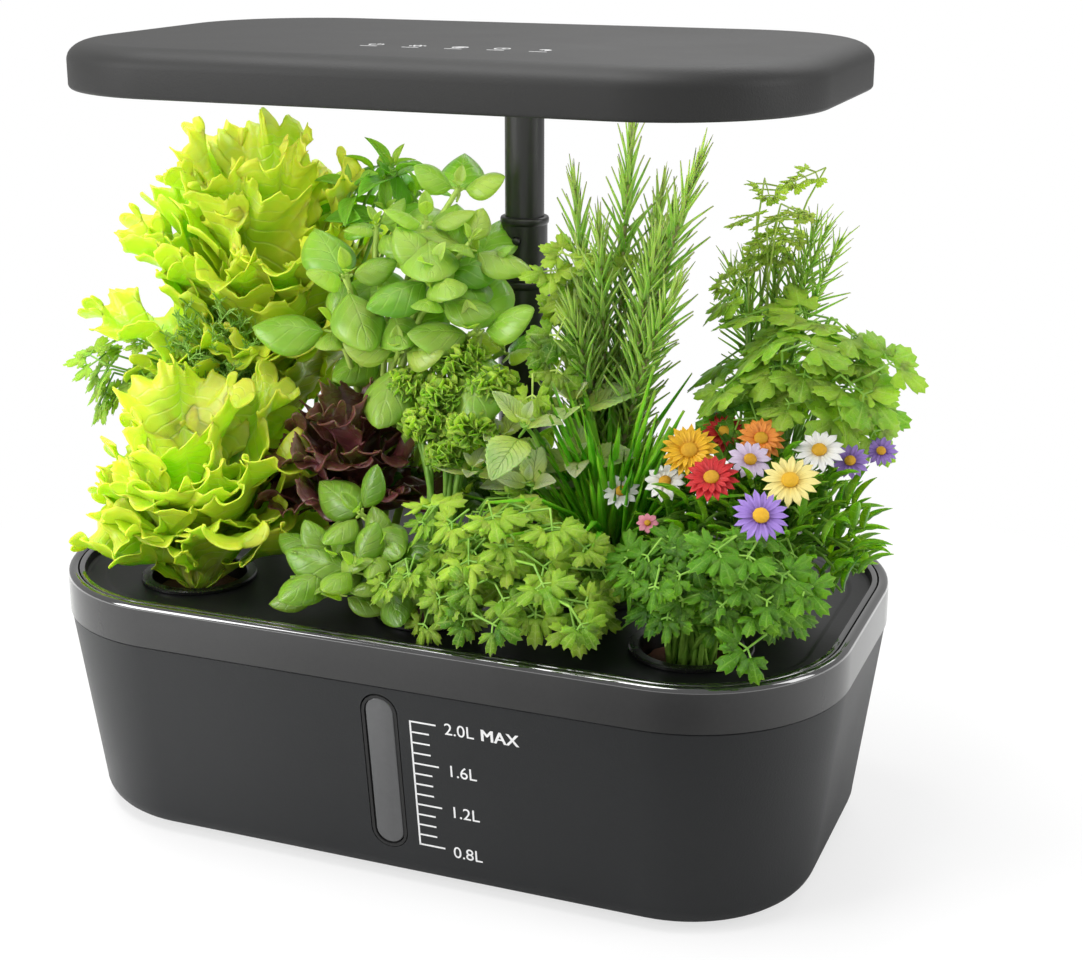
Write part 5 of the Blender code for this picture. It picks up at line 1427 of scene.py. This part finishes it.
# %% Clumps of parsley and coriander
middle = mm(30, -50, 96)
drooping = (
    (64, -80, 100), (42, -76, 97), (32, -72, 101), (52, -74, 105), (22, -68, 98), (62, -68, 105),
    (8, -64, 104),
)
herb("flat_parsley", parsley_green, "parsley", 21, root(2, 0.6, -0.3),
     [*shells(middle, (0.035, 0.025, 0.024), (44, 30, 14)), *around(middle, drooping)], 0.0078, stem_green)
middle = mm(95, -52, 103)
drooping = ((117, -62, 110), (86, -69, 111), (120, -54, 109), (80, -62, 111))
# The right clump wears the darker green that paints shade on it.
herb("parsley_right", painted_shade_green, "parsley", 24, root(3),
     [*shells(middle, (0.024, 0.019, 0.017), (32, 20, 10)), *around(middle, drooping)], 0.0078, stem_green)
middle = mm(103, 16, 142)
coriander_spots = (
    (71, 18, 166), (79, 18, 165), (89, 22, 166), (96, 24, 167), (107, 24, 167), (116, 20, 161),
    (120, 16, 159), (128, 16, 157), (117, 10, 148), (123, 6, 141), (109, 6, 154), (98, 0, 147), (82, 4, 149),
    (86, 10, 160), (94, 10, 159), (102, 12, 161), (86, 0, 139), (118, 0, 139), (124, 24, 152), (76, 26, 150),
)
herb("coriander", coriander_green, "coriander", 23, root(7, 0.2, 0.1),
     [*around(middle, coriander_spots), *shells(middle, (0.024, 0.018, 0.016), (10, 6))], 0.0108, stem_green)
side_spots = (
    (-136, 0, 141), (-124, 0, 146), (-140, -4, 129), (-120, 0, 135), (-142, 0, 122), (-130, 4, 134),
    (-148, 0, 137), (-112, 4, 142), (-133, -2, 125), (-126, -4, 130), (-116, -2, 128), (-145, 2, 130),
)
herb("dill_left", coriander_green, "coriander", 25, root(6, -0.5, -0.6),
     around(mm(-124, 2, 128), side_spots), 0.0068, stem_green, 2)
cluster_spots = (
    (23, 6, 181), (29, 6, 183), (35, 6, 182), (27, 4, 174), (33, 4, 173), (30, 4, 167), (39, 10, 187),
    (28, -12, 153), (33, -10, 158), (24, -14, 146), (33, -14, 150),
)
herb("mint", parsley_green, "coriander", 26, root(5, -0.4, 0.5), around(mm(26, 16, 160), cluster_spots),
     0.0080, stem_lime)
low_spots = (
    (-14, 12, 104, 15), (-5, 12, 107, 15), (3, 14, 109, 15), (-21, 12, 107, 15), (14, 6, 110, 15),
    (-3, 0, 104, 13), (6, 0, 106, 13), (20, 10, 112, 15), (28, 12, 110, 15), (-30, 10, 108, 15),
    (10, 22, 112, 16), (-10, 26, 110, 16),
)
# Low leaves under the mint, in the darker green that paints shade on them.
bush("mint", painted_shade_green, basil_kinds, 15, root(5, -0.8, 0.2), low_spots, stem_green, 0.9, 0.0009)
print("parsley and coriander grown")

# %% [markdown]
# Curly parsley is the same fan with its margin thrown into tight frills, and dozens of them pack into a
# ball at the end of each stalk. The table gives the place of each ball and its radius in millimetres.

# %% Curly parsley
curly = Plant("curly_parsley", 22)
curly_heads = (
    (-2, -4, 150, 8.5), (-18, -9, 141, 8), (9, -6, 143, 8), (-8, -16, 132, 8.5), (7, -18, 132, 8),
    (-4, -12, 141, 7.5), (-14, 0, 136, 7), (3, 2, 140, 7), (-20, -5, 131, 6.5), (0, -20, 124, 6.5),
)
for *spot, size in curly_heads:
    middle = mm(*spot)
    start = root(2, curly.near(-0.1, 0.3), curly.near(0.6, 0.3))
    curly.stalk(start, middle, 0.0010, 0.0008)
    for place, out in crown(middle, (size / 1000, size / 1000, size / 1300), 46, -0.55, 0.97, size):
        curly.strand([middle, place], 0.0005, 0.0003)
        ahead = out + curly.drift(*[(0.0, 0.5)] * 3)
        up = curly.drift(*[(0.0, 1.0)] * 3)
        # Painted light and shade: leaves on the upper side of a ball get a lighter tint, those below a darker
        # one.
        curly.leaf(curl_green, "curl", place - ahead.normalized() * 0.003, ahead, up,
                   curly.near(0.0046, 0.0007), 1.0, curly.near(0.35 + 0.35 * out.z, 0.2))
curly.ready(stem_green)
print("curly heads", len(curly_heads))

# %% [markdown]
# Rosemary is a brown stem with needles at a slope all the way up. The dill on the right has such stems with
# a feathery plume over them, and chives are plain folded blades that lean out from one tuft.

# %% Rosemary, dill and chives


def sprig(plant, start, tip, needle, count, thick, bare=0.25, slope=42.0):
    """An upright stem with needles round it all the way from the bare foot to the tip."""
    reach = tip - start
    bend = start + Vector((reach.x * 0.22, reach.y * 0.22, reach.z * 0.6))
    plant.strand([on_arch(start, bend, tip, step / 10) for step in range(11)], thick, thick * 0.4)
    for number in range(count):
        share = bare + (1 - bare) * number / count
        along_stem = ((bend - start) * (1 - share) + (tip - bend) * share).normalized()
        climb = math.radians(plant.near(slope + 30.0 * max(share - 0.75, 0.0) * 4, 8.0))
        out = along_stem.to_track_quat("Z", "Y") @ aim(number * golden_turn, climb)
        length = needle * plant.near(1.0, 0.18) * (1 - 0.45 * max(share - 0.8, 0.0) * 5)
        plant.leaf(needle_green, "needle", on_arch(start, bend, tip, share), out, along_stem, length, 1.0,
                   plant.near(0.2 + 0.6 * share, 0.2))


rosemary = Plant("rosemary", 31)
rosemary_tips = ((48, 12, 224), (73, 2, 218), (27, 18, 206), (42, 0, 196), (63, -6, 196), (70, -8, 182),
                 (34, 6, 184), (55, 22, 205), (26, 10, 176), (62, 12, 200), (36, -8, 172))
for number, tip in enumerate(rosemary_tips):
    start = root(5, 0.1 + 0.2 * math.sin(number * 2.1), 0.4 + 0.25 * math.cos(number * 1.7))
    sprig(rosemary, start, mm(*tip), 0.0145, 104, 0.0010, slope=55.0)
rosemary.ready(stem_brown)

dill_right = Plant("dill_right", 32)
spikes = ((103, 40, 193), (107, 42, 189), (99, 44, 194), (75, 46, 180), (86, 44, 182), (93, 46, 181),
          (70, 46, 178))
for number, tip in enumerate(spikes):
    sprig(dill_right, root(7, -0.5 + 0.15 * number, 0.5), mm(*tip), 0.0120, 58, 0.0008, bare=0.45)
dill_right.ready(stem_green)
plume_spots = (
    (89, 46, 203), (83, 46, 198), (96, 44, 196), (74, 44, 190), (81, 42, 188), (93, 42, 187), (78, 40, 183),
    (88, 40, 181), (71, 36, 174), (81, 48, 191), (89, 48, 195), (76, 40, 178),
)
herb("dill_right", curl_green, "parsley", 27, root(7, -0.5, 0.5), around(mm(86, 44, 170), plume_spots),
     0.0044, stem_lime, 3, 0.0006)

chives = Plant("chives", 33)
for number, (place, out) in enumerate(crown(mm(50, -14, 115), (0.021, 0.012, 0.036), 150, 0.20, turn=2.0)):
    start = root(5, 0.5 + 0.3 * math.sin(number), -0.2 + 0.3 * math.cos(number * 1.3))
    length = (place - start).length * chives.near(1.0, 0.15)
    chives.leaf(chive_green, "chive_bent" if number % 5 == 0 else "chive", start, place - start,
                Vector((-out.x, -out.y, 0.3)), length, chives.near(1.0, 0.3))
chives.ready(stem_green)
print("rosemary sprigs", len(rosemary_tips), "dill sprigs", len(spikes))

# %% [markdown]
# The dill on the left is all hair-thin threads: side threads along a fine stem, and finer ones on those.

# %% Threads of dill
thread = 0.00022
side_length = 0.013
side_pairs = 9


def thread_sprig(plant, start, tip):
    """A plume of dill: a fine stem, side threads along it, and finer threads on those."""
    plant.stalk(start, tip, 0.0007, 0.0003)
    for number in range(side_pairs):
        share = 0.45 + 0.55 * number / side_pairs
        place = start.lerp(tip, share) + upwards((tip - start).length * 0.10 * (1 - share))
        for side in (-1, 1):
            turn = number * 0.9 + side * 1.3 + plant.near(0.0, 0.3)
            out = Vector((math.cos(turn), math.sin(turn), plant.near(0.65, 0.2))).normalized()
            length = side_length * (1.1 - 0.6 * share)
            end = place + out * length
            plant.strand([place, place.lerp(end, 0.5) + upwards(0.0008), end], thread * 1.3, thread)
            for twig in range(5):
                foot = place.lerp(end, 0.25 + 0.15 * twig)
                swing = plant.drift((0.0, 1.0), (0.0, 1.0), (0.3, 0.6)).normalized()
                plant.strand([foot, foot + (swing + out).normalized() * length * 0.38], thread, thread * 0.6)


dill_left = Plant("dill_left", 34)
for place, out in crown(mm(-100, 2, 138), (0.018, 0.012, 0.026), 26, -0.4, turn=1.0):
    thread_sprig(dill_left, root(6, -0.5, -0.6), place)
dill_left.ready(stem_dill)
print("threads of dill", len(dill_left.strands))

# %% [markdown]
# The flowers are daisies: one or two rings of petals round a dome of tiny florets. Each head keeps the place
# and the colour it has in the photograph, and turns its face towards the light and a little to the front.

# %% Petals


def petal_finish(name, root_colour, tip_colour):
    """A petal's material: fine lines along it, from a deeper root to its own colour at the tip."""
    made, tree = node_tree(name)
    across, along = blade_ruler(tree)
    lines = math_node(tree, "PINGPONG", math_node(tree, "MULTIPLY", across, 5.0), 0.5)
    colour = blend_colours(tree, remap(tree, along, 0.1, 0.55), root_colour, tip_colour)
    shadow = tuple(value * 0.72 for value in tip_colour)
    colour = blend_colours(tree, remap(tree, lines, 0.0, 0.3, 0.35, 0.0), colour, shadow)
    bump = add(tree, "ShaderNodeBump", Strength=0.5, Distance=0.0002, Height=lines)
    principled(tree, Base_Color=colour, Roughness=0.50, Normal=bump)
    return made


petal_materials = {colour: petal_finish(f"petal_{colour}", *pair) for colour, pair in {
    "yellow": ((0.75, 0.30, 0.00), (0.92, 0.52, 0.01)),
    "red": ((0.35, 0.01, 0.01), (0.62, 0.015, 0.020)),
    "orange": ((0.75, 0.16, 0.01), (0.88, 0.30, 0.04)),
    "white": ((0.80, 0.78, 0.60), (0.90, 0.89, 0.86)),
    "pale_yellow": ((0.85, 0.62, 0.10), (0.90, 0.78, 0.28)),
    "lilac": ((0.55, 0.40, 0.62), (0.72, 0.60, 0.80)),
    "purple": ((0.16, 0.07, 0.38), (0.36, 0.22, 0.66)),
    "pink": ((0.60, 0.12, 0.20), (0.78, 0.28, 0.36)),
}.items()}
print("petal colours", len(petal_materials))

# %% Daisies
flower_heads = (
    ("yellow", (78, -20, 134), 0.0088, 20, 2), ("red", (89, -34, 131), 0.0080, 16, 2),
    ("red", (84, -4, 136), 0.0072, 16, 2), ("orange", (97, -10, 137), 0.0074, 16, 2),
    ("white", (115, -12, 136), 0.0076, 14, 1), ("white", (72, -24, 125), 0.0064, 12, 1),
    ("white", (57, -20, 119), 0.0060, 12, 1), ("lilac", (97, -22, 134), 0.0066, 12, 1),
    ("pale_yellow", (112, -34, 133), 0.0084, 16, 1), ("purple", (108, -50, 127), 0.0080, 18, 1),
    ("purple", (123, -6, 132), 0.0058, 14, 1), ("purple", (130, 4, 133), 0.0050, 14, 1),
    ("yellow", (60, 0, 122), 0.0046, 12, 1), ("pink", (70, -34, 115), 0.0034, 8, 1),
)
daisies = Plant("daisies", 41)
domes = bmesh.new()


def daisy_root():
    """Where the stem of a daisy starts."""
    return root(7, daisies.near(0.4, 0.3), daisies.near(-0.5, 0.3))


for colour, place, radius, count, rings in flower_heads:
    place = mm(*place)
    facing = daisies.drift((0.18, 0.15), (-0.62, 0.12), (0.72, 0.10)).normalized()
    stand = facing.to_track_quat("Z", "Y")
    for ring in range(rings):
        for petal in range(count):
            climb = math.radians(daisies.near(4.0 + 14.0 * ring, 4.0))
            out = stand @ aim(2 * math.pi * (petal + 0.5 * ring) / count, climb)
            length = radius * (1 - 0.22 * ring) * daisies.near(1.0, 0.05)
            daisies.leaf(petal_materials[colour], "petal", place + out * radius * 0.12, out, facing,
                         length * 0.88, daisies.near(1.0, 0.1) * 16 / count)
    dome = bmesh.ops.create_icosphere(domes, subdivisions=2, radius=radius * 0.30)["verts"]
    bmesh.ops.scale(domes, vec=(1.0, 1.0, 0.55), verts=dome)
    spot = Matrix.Translation(place + facing * radius * 0.08) @ stand.to_matrix().to_4x4()
    bmesh.ops.transform(domes, matrix=spot, verts=dome)
    daisies.stalk(daisy_root(), place - facing * radius * 0.1, 0.0009, 0.0006)
for place, out in crown(mm(98, -12, 104), (0.032, 0.026, 0.026), 90, turn=0.5):
    start = daisy_root()
    daisies.stalk(start, place, 0.0007, 0.0004)
    # The leaves among the daisies are in the darker green that paints shade on them.
    for blade in range(3):
        swing = daisies.drift((out.x * 0.5, 0.6), (out.y * 0.5, 0.6), (0.9, 0.5))
        daisies.leaf(painted_shade_green, "thai", place.lerp(start, 0.12 * blade), swing, upwards(1.0),
                     daisies.near(0.012, 0.003), 0.60)
daisies.leaves[florets] = domes
daisies.ready(stem_green)
print("flowers", len(flower_heads))
